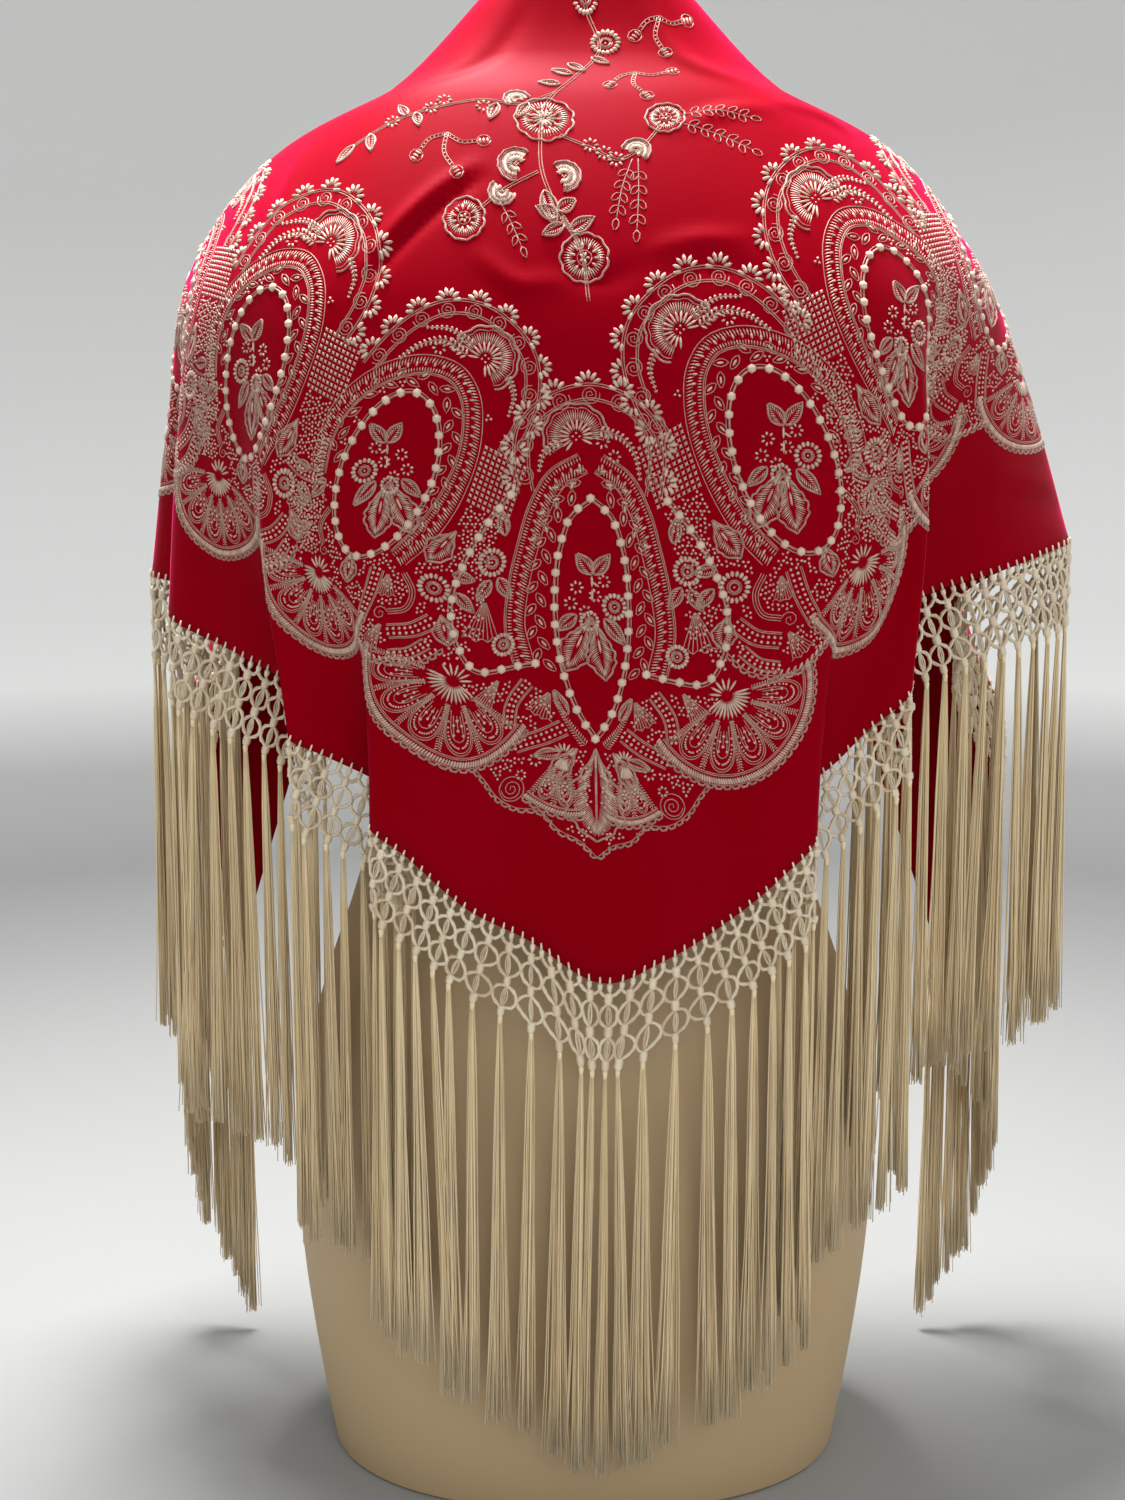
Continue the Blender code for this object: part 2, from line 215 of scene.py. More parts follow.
skin = Finish("form_skin", FORM_BEIGE, Roughness=0.62)
place = skin.object_place()
skin.set("Base Color", skin.blend(skin.noise(place, 9.0), FORM_BEIGE, FORM_BEIGE_WARM))
skin.set("Roughness", skin.noise(place, 40.0, 4.0) * 0.12 + 0.55)
skin.bump(skin.noise(place, 420.0, 3.0), 0.10, 0.0004)
form.data.materials.append(skin.material)
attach(form, "root")
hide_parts("dress_form")

# The silk cloth
# One wide triangle cut from a single length of silk crepe satin, hemmed all round. Its long edge passes round
# the neck, its point hangs at the back, and it is held only by lying on the shoulders.
HALF_WIDTH = 0.675
DEPTH = 0.545
LEG_BOW = 1.15  # above 1, the two short edges bow outwards
SHOULDER_SAG = 0.013
SILK_THICKNESS = 0.0005
COLUMNS_A_FOLD_LINE = 8
ROWS_BETWEEN = (6, 12, 34, 20, 12)  # from neck to slope, shoulder, hanging ring, halfway and hem
SILK_RED = (0.290, 0.0001, 0.0065, 1)
SILK_DEEP_RED = (0.230, 0.0001, 0.0020, 1)
SILK_SHEEN = (1.0, 0.004, 0.16, 1)
SILK_GLOSS = (1.0, 0.02, 0.40, 1)
# Places round one shoulder, as "turn" goes from 0 at the middle of the back to 1 at the front edge.
NECK_RING = [
    # turn   s      t      x      y       z
    (0.00, 0.000, 0.000, 0.000, -0.0530, 0.835),
    (0.28, 0.028, 0.000, 0.029, -0.0490, 0.834),
    (0.47, 0.050, 0.000, 0.048, -0.0330, 0.827),
    (0.65, 0.068, 0.000, 0.057, -0.0100, 0.816),
    (0.83, 0.086, 0.000, 0.063, 0.0120, 0.803),
    (1.00, 0.106, 0.000, 0.070, 0.0300, 0.789),
]
SHOULDER_RING = [
    # turn   s      t      x      y       z
    (0.00, 0.000, 0.085, 0.000, -0.0850, 0.757),
    (0.14, 0.052, 0.087, 0.052, -0.0810, 0.758),
    (0.28, 0.102, 0.089, 0.100, -0.0660, 0.757),
    (0.38, 0.139, 0.088, 0.134, -0.0460, 0.751),
    (0.47, 0.168, 0.085, 0.158, -0.0270, 0.745),
    (0.56, 0.192, 0.078, 0.174, -0.0090, 0.739),
    (0.65, 0.207, 0.067, 0.182, 0.0090, 0.733),
    (0.74, 0.213, 0.052, 0.178, 0.0290, 0.727),
    (0.83, 0.212, 0.034, 0.161, 0.0480, 0.723),
    (0.91, 0.206, 0.016, 0.138, 0.0610, 0.721),
    (1.00, 0.198, 0.000, 0.114, 0.0680, 0.720),
]
HANGING_RING = [
    # turn   s      t      x      y       z
    (0.00, 0.000, 0.200, 0.000, -0.1260, 0.652),
    (0.14, 0.060, 0.200, 0.060, -0.1245, 0.652),
    (0.28, 0.120, 0.196, 0.119, -0.1150, 0.655),
    (0.38, 0.163, 0.187, 0.158, -0.0960, 0.660),
    (0.47, 0.198, 0.173, 0.188, -0.0680, 0.668),
    (0.56, 0.228, 0.152, 0.209, -0.0340, 0.678),
    (0.65, 0.251, 0.126, 0.219, 0.0040, 0.686),
    (0.74, 0.270, 0.098, 0.214, 0.0420, 0.684),
    (0.83, 0.282, 0.066, 0.194, 0.0720, 0.675),
    (0.91, 0.288, 0.033, 0.168, 0.0920, 0.658),
    (1.00, 0.290, 0.000, 0.142, 0.1010, 0.638),
]
# One row for each fold line of the hanging cloth, from the left tip round the back to the right tip.
FOLD_LINES = [
    # turn  half_x  half_y  hem_s   hem_x   hem_y   hem_z
    (-1.000, -0.166, 0.108, -0.675, -0.218, 0.112, 0.280),  # left tip
    (-0.960, -0.188, 0.112, -0.590, -0.250, 0.118, 0.352),
    (-0.910, -0.202, 0.100, -0.530, -0.254, 0.090, 0.415),  # front fold
    (-0.840, -0.208, 0.078, -0.475, -0.224, 0.068, 0.460),
    (-0.770, -0.214, 0.048, -0.430, -0.208, 0.036, 0.490),  # tucked in
    (-0.705, -0.233, 0.027, -0.390, -0.239, 0.038, 0.508),
    (-0.640, -0.236, 0.001, -0.352, -0.247, 0.004, 0.510),  # left outline
    (-0.595, -0.223, -0.016, -0.330, -0.214, -0.019, 0.503),  # tucked in
    (-0.545, -0.223, -0.039, -0.305, -0.229, -0.047, 0.493),  # left fold
    (-0.475, -0.203, -0.061, -0.268, -0.192, -0.066, 0.474),
    (-0.415, -0.181, -0.077, -0.235, -0.161, -0.079, 0.459),
    (-0.380, -0.172, -0.089, -0.217, -0.139, -0.090, 0.446),  # tucked in
    (-0.350, -0.167, -0.099, -0.198, -0.156, -0.105, 0.431),  # second left fold
    (-0.325, -0.156, -0.102, -0.184, -0.137, -0.102, 0.421),
    (-0.300, -0.145, -0.105, -0.167, -0.115, -0.099, 0.410),
    (-0.265, -0.128, -0.114, -0.140, -0.091, -0.111, 0.397),  # tucked in
    (-0.230, -0.110, -0.121, -0.114, -0.112, -0.125, 0.387),  # first left fold
    (-0.195, -0.092, -0.124, -0.094, -0.093, -0.130, 0.373),
    (-0.138, -0.064, -0.128, -0.070, -0.066, -0.132, 0.349),
    (-0.070, -0.031, -0.127, -0.034, -0.031, -0.128, 0.329),
    (0.000, 0.003, -0.129, 0.000, 0.006, -0.131, 0.307),  # point at the back
    (0.070, 0.034, -0.128, 0.036, 0.040, -0.132, 0.319),
    (0.138, 0.066, -0.125, 0.070, 0.071, -0.126, 0.337),
    (0.195, 0.096, -0.122, 0.102, 0.098, -0.131, 0.361),
    (0.240, 0.121, -0.117, 0.130, 0.118, -0.125, 0.383),  # first right fold
    (0.275, 0.138, -0.110, 0.157, 0.100, -0.113, 0.398),  # tucked in
    (0.310, 0.154, -0.103, 0.180, 0.126, -0.102, 0.414),
    (0.350, 0.163, -0.101, 0.208, 0.146, -0.102, 0.434),
    (0.400, 0.175, -0.101, 0.236, 0.169, -0.104, 0.457),  # second right fold
    (0.445, 0.166, -0.075, 0.270, 0.143, -0.081, 0.481),  # tucked in
    (0.495, 0.193, -0.060, 0.300, 0.179, -0.065, 0.502),
    (0.555, 0.224, -0.041, 0.335, 0.227, -0.050, 0.516),
    (0.640, 0.251, -0.004, 0.385, 0.275, -0.007, 0.530),  # right outline
    (0.715, 0.239, 0.029, 0.425, 0.264, 0.039, 0.520),
    (0.785, 0.216, 0.047, 0.462, 0.224, 0.041, 0.496),  # tucked in
    (0.850, 0.214, 0.077, 0.500, 0.239, 0.073, 0.464),
    (0.910, 0.207, 0.100, 0.545, 0.265, 0.090, 0.416),  # front fold
    (0.960, 0.190, 0.112, 0.600, 0.262, 0.119, 0.352),
    (1.000, 0.168, 0.108, 0.675, 0.226, 0.112, 0.280),  # right tip
]
CREASE_STEPS = 40
# Small creases pressed into the cloth: a line through flat places, how far it stands out and how wide it is.
CREASES = [
    # ((s, t), ...), height, width
    (((-0.112, 0.190), (-0.095, 0.171), (-0.074, 0.152), (-0.053, 0.138)), -0.0034, 0.0036),
    (((-0.116, 0.184), (-0.099, 0.165), (-0.077, 0.146), (-0.055, 0.131)), 0.0022, 0.0042),
    (((0.030, 0.176), (0.052, 0.171), (0.080, 0.170)), 0.0016, 0.0045),
    (((0.040, 0.188), (0.066, 0.184), (0.096, 0.190)), -0.0015, 0.0045),
    (((0.046, 0.112), (0.066, 0.100), (0.098, 0.094)), 0.0013, 0.0050),
    (((0.100, 0.088), (0.122, 0.086), (0.145, 0.092)), 0.0015, 0.0050),
    (((-0.056, 0.176), (-0.034, 0.192), (-0.012, 0.190)), 0.0016, 0.0050),
    (((-0.020, 0.178), (0.004, 0.190), (0.026, 0.184)), -0.0014, 0.0060),
    (((0.290, 0.268), (0.313, 0.260), (0.345, 0.251), (0.366, 0.246)), -0.0020, 0.0032),
    (((0.290, 0.261), (0.313, 0.253), (0.345, 0.244)), 0.0014, 0.0040),
    (((0.030, 0.020), (0.050, 0.050), (0.085, 0.072)), 0.0015, 0.0060),
    (((-0.030, 0.020), (-0.055, 0.052), (-0.090, 0.070)), -0.0014, 0.0060),
    (((-0.150, 0.100), (-0.162, 0.130), (-0.165, 0.165)), 0.0014, 0.0070),
]


def leg_depth(s):
    """How far down the flat cloth reaches at s: the curve of its two short edges."""
    return DEPTH * (1 - (np.abs(s) / HALF_WIDTH) ** LEG_BOW)


def ring_places(ring, turns):
    """Rows of s, t, x, y, z on a ring, mirrored where the turn is to the left, which is negative."""
    rows = np.array(ring)
    mirror = np.array([-1, 1, -1, 1, 1])
    knots = np.concatenate([-rows[:0:-1, 0], rows[:, 0]])
    values = np.vstack([rows[:0:-1, 1:] * mirror, rows[:, 1:]])
    return smooth_curve(knots, values, turns)


def drape_stations(hem_s):
    """Six places down each drape line, as an array of (line, place, [s, t, x, y, z])."""
    lines = np.array(FOLD_LINES)
    turn, half_x, half_y, _, hem_x, hem_y, hem_z = smooth_curve(lines[:, 3], lines, hem_s).T
    neck, shoulder, hanging = (ring_places(r, turn) for r in (NECK_RING, SHOULDER_RING, HANGING_RING))
    hem = np.column_stack([hem_s, leg_depth(hem_s), hem_x, hem_y, hem_z])
    slope = (neck + shoulder) / 2
    slope[:, 4] -= SHOULDER_SAG
    halfway = (hanging + hem) / 2
    halfway[:, 2] = half_x
    halfway[:, 3] = half_y
    return np.stack([neck, slope, shoulder, hanging, halfway, hem], axis=1)


def drape_line_samples(steps):
    """The flat hem position of each column of the cloth: a few between one fold line and the next."""
    hems = np.array([row[3] for row in FOLD_LINES])
    return np.interp(np.arange((len(hems) - 1) * steps + 1) / steps, range(len(hems)), hems)


def draped_cloth(hem_s):
    """The cloth's middle surface: (column, row, [s, t, x, y, z]), from the neck edge down to the hem."""
    columns = []
    for places in drape_stations(hem_s):
        lengths = np.linalg.norm(np.diff(places[:, 2:], axis=0), axis=1)
        knots = np.concatenate([[0], np.cumsum(lengths)])
        at = [knots[0]]
        for k, count in enumerate(ROWS_BETWEEN):
            at += list(knots[k] + lengths[k] * np.arange(1, count + 1) / count)
        columns.append(smooth_curve(knots, places, np.array(at)))
    return np.array(columns)


def outward_normals(points):
    """The unit normal at each point of a (column, row) grid, pointing away from the wearer."""
    normal = np.cross(np.gradient(points, axis=1), np.gradient(points, axis=0))
    return normal / np.linalg.norm(normal, axis=2, keepdims=True)


def crease_heights(flat):
    """How far the hand-made creases lift or sink each flat place of the cloth."""
    lift = np.zeros(flat.shape[:-1])
    for line, height, width in CREASES:
        line = np.array(line)
        lengths = np.concatenate([[0], np.cumsum(np.linalg.norm(np.diff(line, axis=0), axis=1))])
        inner = smooth_curve(lengths, line, np.linspace(0, lengths[-1], CREASE_STEPS))
        fade = np.sin(np.linspace(0, np.pi, CREASE_STEPS)) ** 0.6
        near = np.linalg.norm(flat[..., None, :] - inner, axis=-1)
        lift += height * (np.exp(-((near / width) ** 2)) * fade).max(axis=-1)
    return lift


def new_piece(name, vertices, faces, finish):
    """A mesh object at the origin, shaded smooth, with its one material."""
    mesh = bpy.data.meshes.new(name)
    mesh.vertices.add(len(vertices))
    mesh.vertices.foreach_set("co", np.asarray(vertices, np.float32).ravel())
    faces = np.asarray(faces)
    sides = faces.shape[1]
    mesh.loops.add(faces.size)
    mesh.loops.foreach_set("vertex_index", faces.ravel())
    mesh.polygons.add(len(faces))
    mesh.polygons.foreach_set("loop_start", np.arange(len(faces)) * sides)
    mesh.update(calc_edges=True)
    mesh.shade_smooth()
    mesh.materials.append(finish.material)
    piece = bpy.data.objects.new(name, mesh)
    bpy.context.scene.collection.objects.link(piece)
    return piece


cloth_grid = draped_cloth(drape_line_samples(COLUMNS_A_FOLD_LINE))
cloth_flat, cloth_places = cloth_grid[:, :, :2], cloth_grid[:, :, 2:]
cloth_places = cloth_places + outward_normals(cloth_places) * crease_heights(cloth_flat)[..., None]
cloth_normals = outward_normals(cloth_places)
columns, rows = cloth_places.shape[:2]
corner = (np.arange(columns - 1)[:, None] * rows + np.arange(rows - 1)).ravel()
cloth_faces = np.column_stack([corner, corner + 1, corner + rows + 1, corner + rows])

silk = Finish(
    "red_silk", SILK_RED, Roughness=0.45, Sheen_Weight=0.60, Sheen_Roughness=0.35, Sheen_Tint=SILK_SHEEN,
    Specular_IOR_Level=0.05, Specular_Tint=SILK_GLOSS,
)
flat_place = silk.node("ShaderNodeUVMap", {"uv_map": "flat"})
broad = silk.noise(flat_place, 11.0, 3.0)
weft, warp = (
    silk.node(
        "ShaderNodeTexWave", {"wave_type": "BANDS", "bands_direction": direction},
        {"Vector": flat_place, "Scale": scale, "Distortion": 1.2, "Detail": 2.0, "Detail Scale": 2.0},
    )
    for direction, scale in (("Y", 420.0), ("X", 520.0))
)
slub = silk.noise(flat_place, 900.0, 2.0)
silk.set("Base Color", silk.blend(broad, SILK_DEEP_RED, SILK_RED))
silk.set("Roughness", slub * 0.10 + broad * 0.06 + 0.38)
silk.bump(weft * 0.4 + warp * 0.3 + slub * 0.5, 0.16, 0.00018)

cloth = new_piece("silk_cloth", cloth_places.reshape(-1, 3), cloth_faces, silk)
flat_uv = cloth.data.uv_layers.new(name="flat")
flat_uv.data.foreach_set("uv", cloth_flat.reshape(-1, 2)[cloth_faces.ravel()].astype(np.float32).ravel())
bpy.ops.object.select_all(action="DESELECT")
bpy.context.view_layer.objects.active = cloth
cloth.select_set(True)
wall = cloth.modifiers.new("thickness", "SOLIDIFY")
wall.thickness, wall.offset = SILK_THICKNESS, 0.0
bpy.ops.object.modifier_apply(modifier=wall.name)
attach(cloth, "root")
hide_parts("shawl_cloth")

# The embroidery
# Cream silk thread, worked through the cloth by machine before it is hung: running lines, satin petals, knots
# and couched beads. It is drawn here on the flat cloth in centimetres, as x + 1j * y with y down from the long
# edge, and then laid on the draped silk stitch by stitch.
STITCHES = {
    # kind      half_width  height   step   all in centimetres
    "thread": (0.034, 0.046, 0.22),
    "cord": (0.066, 0.090, 0.20),
    "stitch": (0.032, 0.044, 9.0),
    "satin": (0.068, 0.090, 9.0),
    "petal": (0.108, 0.125, 9.0),
    "bead": (0.255, 0.170, 0.0),
    "bead_small": (0.100, 0.085, 0.0),
    "knot": (0.072, 0.070, 0.0),
}
THREAD_BASE = 0.00012  # the stitches' undersides lie just inside the cloth's outer face
EDGE_MARGIN = 0.9  # bare cloth kept at the hem, in centimetres
THREAD_CREAM = (0.330, 0.150, 0.115, 1)
THREAD_PALE = (0.700, 0.530, 0.410, 1)


def bend(places, steps=30):
    """A smooth line through a few places."""
    places = np.array(places, complex)
    knots = np.concatenate([[0], np.cumsum(np.abs(np.diff(places)))])
    x, y = smooth_curve(knots, np.column_stack([places.real, places.imag]), np.linspace(0, knots[-1], steps)).T
    return x + 1j * y


def headings(path):
    """Which way a line heads at each of its places, as complex numbers of size 1."""
    ahead = np.gradient(path)
    return ahead / np.maximum(np.abs(ahead), 1e-9)


def beside(path, distance):
    """The same line moved to its right by a distance, or to its left where that is negative."""
    return path + 1j * headings(path) * distance


def spaced(path, pitch):
    """Evenly spaced places on a line, and which way the line heads there."""
    length = np.concatenate([[0], np.cumsum(np.abs(np.diff(path)))])
    at = np.linspace(0, length[-1], max(3, round(length[-1] / pitch) + 1))
    places = np.interp(at, length, path.real) + 1j * np.interp(at, length, path.imag)
    return places, headings(places)


def rays(at, inner, outer, angles, kind="stitch"):
    """Straight stitches round a place, from an inner to an outer radius."""
    way = np.exp(1j * np.radians(angles))
    return [(kind, np.column_stack([at + inner * way, at + outer * way]))]


def ring(at, radius, kind="thread", waves=0, ripple=0.0):
    """A circle of thread, scalloped where it has waves."""
    turn = np.linspace(0, 2 * np.pi, max(13, waves * 6 + 1))
    return [(kind, at + radius * (1 + ripple * np.abs(np.sin(turn * waves / 2))) * np.exp(1j * turn))]


def spiral(at, radius, facing=0.0, turns=2.1):
    """A thread that winds in from a radius to near its middle."""
    turn = np.linspace(0, turns * 2 * np.pi, 34)
    return [("thread", at + radius * (1 - 0.86 * turn / turn[-1]) * np.exp(1j * (turn + facing)))]


def half_daisy(at, way, reach=0.50, petals=6):
    """Half a daisy, open towards way."""
    facing = np.degrees(np.angle(way))
    return rays(at, 0.15 * reach / 0.5, reach, facing + np.linspace(-80, 80, petals), "petal")


def rosette(at, radius, petals=9):
    """A round flower: a scalloped outline, spokes of satin and a ring of knots round its centre."""
    if radius < 1:
        petal_angles = np.arange(petals * 2) * 180 / petals
        work = rays(at, radius * 0.56, radius * 0.96, petal_angles, "petal") + ring(at, radius * 0.42)
        return work + ring(at, radius * 0.30, "cord") + [("knot", np.array([at]))]
    angles = np.arange(petals * 4) * 90 / petals
    work = ring(at, radius * 0.90, "cord", waves=petals, ripple=0.10)
    work += rays(at, radius * 0.40, radius * 0.88, angles, "stitch")
    work += rays(at, radius * 0.34, radius * 0.66, angles[::4], "satin")
    work += ring(at, radius * 0.30) + rays(at, radius * 0.04, radius * 0.24, np.arange(5) * 72, "satin")
    return work


def ring_flower(at, radius=0.36, petals=7):
    """A ring of short petals with an open middle."""
    return rays(at, radius * 0.42, radius, np.arange(petals) * 360 / petals, "satin")


def fan_flower(at, facing, radius):
    """An open flower seen from its side: a fan of spokes with a scalloped rim and a satin heart."""
    turn = np.radians(facing + np.linspace(-112, 112, 60))
    rim = radius * (0.93 + 0.07 * np.abs(np.sin(np.linspace(0, 7 * np.pi, 60))))
    work = [("cord", at + rim * np.exp(1j * turn)), ("thread", at + (rim - 0.12 * radius) * np.exp(1j * turn))]
    work += rays(at, radius * 0.34, radius * 0.90, facing + np.linspace(-110, 110, 40))
    work += rays(at, radius * 0.16, radius * 0.56, facing + np.linspace(-130, 130, 15), "satin")
    work += [("knot", at + 0.10 * radius * np.exp(1j * np.radians(np.arange(4) * 90)))]
    return work


def herringbone(path, width, pitch=0.15, kind="stitch", taper=0.35):
    """Slanting stitches on both sides of a line, narrower towards its end."""
    places, ahead = spaced(path, pitch)
    widths = width * np.linspace(1, taper, len(places))
    sides = [(kind, np.column_stack([places, places + ahead * widths * (0.6 + s * 1j)])) for s in (-1, 1)]
    return [("thread", path)] + sides


def leaf(at, tip, width, veins=True):
    """A leaf from its foot to its tip: an outline, and slanting veins inside it."""
    at, tip = complex(at), complex(tip)
    f = np.linspace(0, 1, 12)
    half = width / 2 * np.sin(np.pi * f**0.8)
    axis = tip - at
    side = 1j * axis / abs(axis)
    outline = np.concatenate([at + axis * f + side * half, (at + axis * f - side * half)[::-1]])
    work = [("cord" if veins else "thread", outline)]
    if veins:
        g = np.linspace(0.05, 0.75, max(4, int(abs(axis) / 0.14)))
        for s in (-1, 1):
            out = at + axis * (g + 0.18) + s * side * 0.92 * width / 2 * np.sin(np.pi * (g + 0.18) ** 0.8)
            work += [("stitch", np.column_stack([at + axis * g, out]))]
    return work


def wing(at, tip, width, teeth=6):
    """A broad serrated leaf: hatched from its foot out to a toothed rim."""
    at, tip = complex(at), complex(tip)
    axis = tip - at
    side = 1j * axis / abs(axis)
    f = np.linspace(0, 1, 8 * teeth + 1)
    saw = 1 + 0.10 * np.sin(f * teeth * 2 * np.pi)
    half = width / 2 * np.sin(np.pi * f**1.35) * saw
    work = []
    for s in (-1, 1):
        rim = at + axis * f + s * side * half
        work += [("cord", rim)]
        places, _ = spaced(rim[2:-1], 0.13)
        inner = at + axis * np.linspace(0.0, 0.80, len(places))
        work += [("stitch", np.column_stack([inner, inner + (places - inner) * 0.95]))]
    return work + [("satin", np.array([[at, at + axis * 0.28], [at + axis * 0.28, at + axis * 0.56]]))]


def loop_spray(path, leaf_length, pairs):
    """A thin stem with outlined leaves in pairs and one at its end."""
    places, ahead = spaced(path, abs(path[-1] - path[0]) / (pairs + 0.5))
    work = [("thread", path)]
    for place, way in zip(places[1:-1], ahead[1:-1]):
        for s in (-1, 1):
            work += leaf(place, place + way * leaf_length * (0.95 + 0.85j * s), leaf_length * 0.66, veins=False)
    return work + leaf(path[-1], path[-1] + ahead[-1] * leaf_length * 1.3, leaf_length * 0.70, veins=False)


def twig(at, ways):
    """A forked twig of paired lines, each arm ending in a striped bud."""
    work = []
    for tip in ways:
        path = bend([at, at + (tip - at) * (0.55 + 0.16j), tip])
        bud = tip + headings(path)[-1] * 0.34
        work += [("thread", beside(path, 0.09)), ("thread", beside(path, -0.09))]
        places, ahead = spaced(path, 0.24)
        work += [("stitch", np.column_stack([places - 0.09j * ahead, places + 0.09j * ahead]))]
        work += ring(bud, 0.36) + [
            ("satin", np.array([[bud - w - 0.2j * headings(path)[-1], bud - w + 0.2j * headings(path)[-1]]
                                for w in headings(path)[-1] * np.array([-0.2, 0.0, 0.2])]))
        ]
    return work


def ladder(path, width):
    """A broad band: two edge lines, short rungs along one of them and slanting stitches along the other."""
    places, ahead = spaced(path, 0.155)
    across = 1j * ahead * width
    edges = [("thread", beside(path, width * s)) for s in (-0.5, -0.42, 0.5)]
    rungs = ("stitch", np.column_stack([places - across * 0.42, places - across * 0.08 + ahead * 0.05]))
    slants = ("stitch", np.column_stack([places - across * 0.02, places + across * 0.48 + ahead * 0.22]))
    tufts = ("satin", np.column_stack([places - across * 0.10, places + across * 0.20 + ahead * 0.10])[1::3])
    return edges + [rungs, slants, tufts]


def leaf_run(path, pitch=0.62, length=0.85):
    """A run of small slanting leaves on both sides of a line, which fills the gap beside a band."""
    places, ahead = spaced(path, pitch)
    work = []
    for index, (place, way) in enumerate(zip(places[:-1], ahead[:-1])):
        lean = np.exp(1j * (0.62 if index % 2 else -0.62))
        work += leaf(place, place + way * lean * length, length * 0.46, veins=False)
        work += [("satin", np.array([[place + way * lean * 0.2, place + way * lean * 0.62]]))]
    return work


def bead_line(path, pitch=0.88):
    """A row of large beads, couched between a cord and a thread."""
    places, _ = spaced(path, pitch)
    return [("bead", places), ("cord", beside(path, 0.03)), ("thread", beside(path, -0.13))]


def lattice(at, across, down, pitch=0.29):
    """An open filling of crossed stitches with a knot at each crossing."""
    u = np.arange(0.5, abs(across) / pitch) * pitch / abs(across)
    v = np.arange(0.5, abs(down) / pitch) * pitch / abs(down)
    places = (at + across * (u[:, None] - 0.5) + down * (v[None, :] - 0.5)).ravel()
    reach = 0.5 * pitch * np.array([across / abs(across) + down / abs(down), across / abs(across) - down / abs(down)])
    work = [("stitch", np.column_stack([places - r, places + r])) for r in reach]
    return work + [("satin", np.column_stack([places - reach[1] * 0.55, places + reach[1] * 0.55]))]


def scroll(path, curl=0.42):
    """Three lines side by side that end in a curl."""
    end, way = path[-1], headings(path)[-1]
    lines = [("thread", beside(path, d)) for d in (-0.13, 0.0, 0.13)]
    return lines + spiral(end + way * curl, curl, facing=np.angle(-way), turns=1.6)


def bead_band(path, width=0.80):
    """A narrow band with two rows of small beads between double lines."""
    places, ahead = spaced(path, 0.30)
    work = [("thread", beside(path, width * s)) for s in (-0.5, -0.40, 0.40, 0.5)]
    return work + [("bead_small", places + 1j * ahead * width * s) for s in (-0.17, 0.17)]


def shell(at, tip, width):
    """A hatched fan: lines spreading from its foot to a waved rim."""
    at, tip = complex(at), complex(tip)
    way, reach = np.angle(tip - at), abs(tip - at)
    spread = width / reach / 2
    turn = way + np.linspace(-spread, spread, 16)
    rim = at + reach * (1 + 0.06 * np.cos(np.linspace(0, 6 * np.pi, 16))) * np.exp(1j * turn)
    return [("thread", rim)] + [("thread", np.array([at + 0.1 * (end - at), end])) for end in rim[::2]]


def fan(apex, facing, radius, spread=78.0, petals=5):
    """A large scallop: arched petals with knots and hanging beads inside a thick rim edged with small loops."""
    apex = complex(apex)
    work = []
    half = spread / petals
    for petal in range(petals):
        middle = facing - spread + (2 * petal + 1) * half
        g = np.linspace(0, 1, 22)
        for wide, near, far in ((0.92, 0.30, 0.90), (0.84, 0.30, 0.87), (0.52, 0.36, 0.74)):
            reach = radius * (near + (far - near) * np.sin(np.pi * g) ** 0.55)
            work += [("thread", apex + reach * np.exp(1j * np.radians(middle + half * wide * np.cos(np.pi * g))))]
        dots = radius * (0.34 + 0.47 * np.sin(np.pi * g[1:-1]) ** 0.55)
        work += [("knot", apex + dots * np.exp(1j * np.radians(middle + half * 0.70 * np.cos(np.pi * g[1:-1]))))]
        for share in (-0.30, 0.0, 0.30):
            way = np.exp(1j * np.radians(middle + half * share))
            far = radius * (0.66 if share else 0.60)
            work += [("thread", np.array([apex + radius * 0.42 * way, apex + far * way]))]
            work += [("bead_small", np.array([apex + far * way, apex + (far - 0.12 * radius) * way]))]
    for edge in range(petals + 1):
        way = np.exp(1j * np.radians(facing - spread + 2 * edge * half))
        line = apex + radius * np.linspace(0.30, 0.88, 8) * way
        work += herringbone(line, 0.17, pitch=0.14, taper=1.1)
    work += rays(apex, radius * 0.06, radius * 0.30, facing + np.linspace(-spread, spread, 15), "satin")
    work += rays(apex, radius * 0.05, radius * 0.22, facing + 180 + np.linspace(-60, 60, 6), "satin")
    turn = np.radians(facing + np.linspace(-spread - 4, spread + 4, 90))
    rim = apex + radius * np.exp(1j * turn)
    places, ahead = spaced(rim, 0.13)
    outward = 1j * radius * ahead
    work += [("satin", np.column_stack([places - 0.055 * outward, places + 0.04 * outward + 0.12 * ahead]))]
    work += [("thread", apex + (rim - apex) * share) for share in (0.925, 0.945, 1.03)]
    return work + picots(apex + (rim - apex) * 1.055)


def picots(path, pitch=0.46):
    """A row of small couched loops along an edge, always on its left as the line runs."""
    places, ahead = spaced(path, pitch)
    turn = np.linspace(0, np.pi, 7)
    work = []
    for place, way in zip(places[:-1], ahead[:-1]):
        loop = place + way * pitch / 2 * (1 - np.cos(turn)) - 1j * way * np.sin(turn) * pitch * 0.42
        work += [("cord", loop)]
    return work + [("thread", path)]


def arch_of_spirals(path, count, radius=0.50):
    """The arch over a medallion: a ribbon of lines with spirals on it, each topped by a half daisy."""
    work = [("thread", beside(path, d)) for d in (0.44, 0.33, -0.28, -0.40)]
    places, ahead = spaced(path, abs(np.diff(path)).sum() / count)
    for place, way in zip(places[:-1] + np.diff(places) / 2, ahead[:-1]):
        work += spiral(place + 0.08j * way, radius * 0.98, facing=np.angle(way), turns=2.4)
        work += half_daisy(place - 0.44j * way, -1j * way, reach=0.74)
    return work


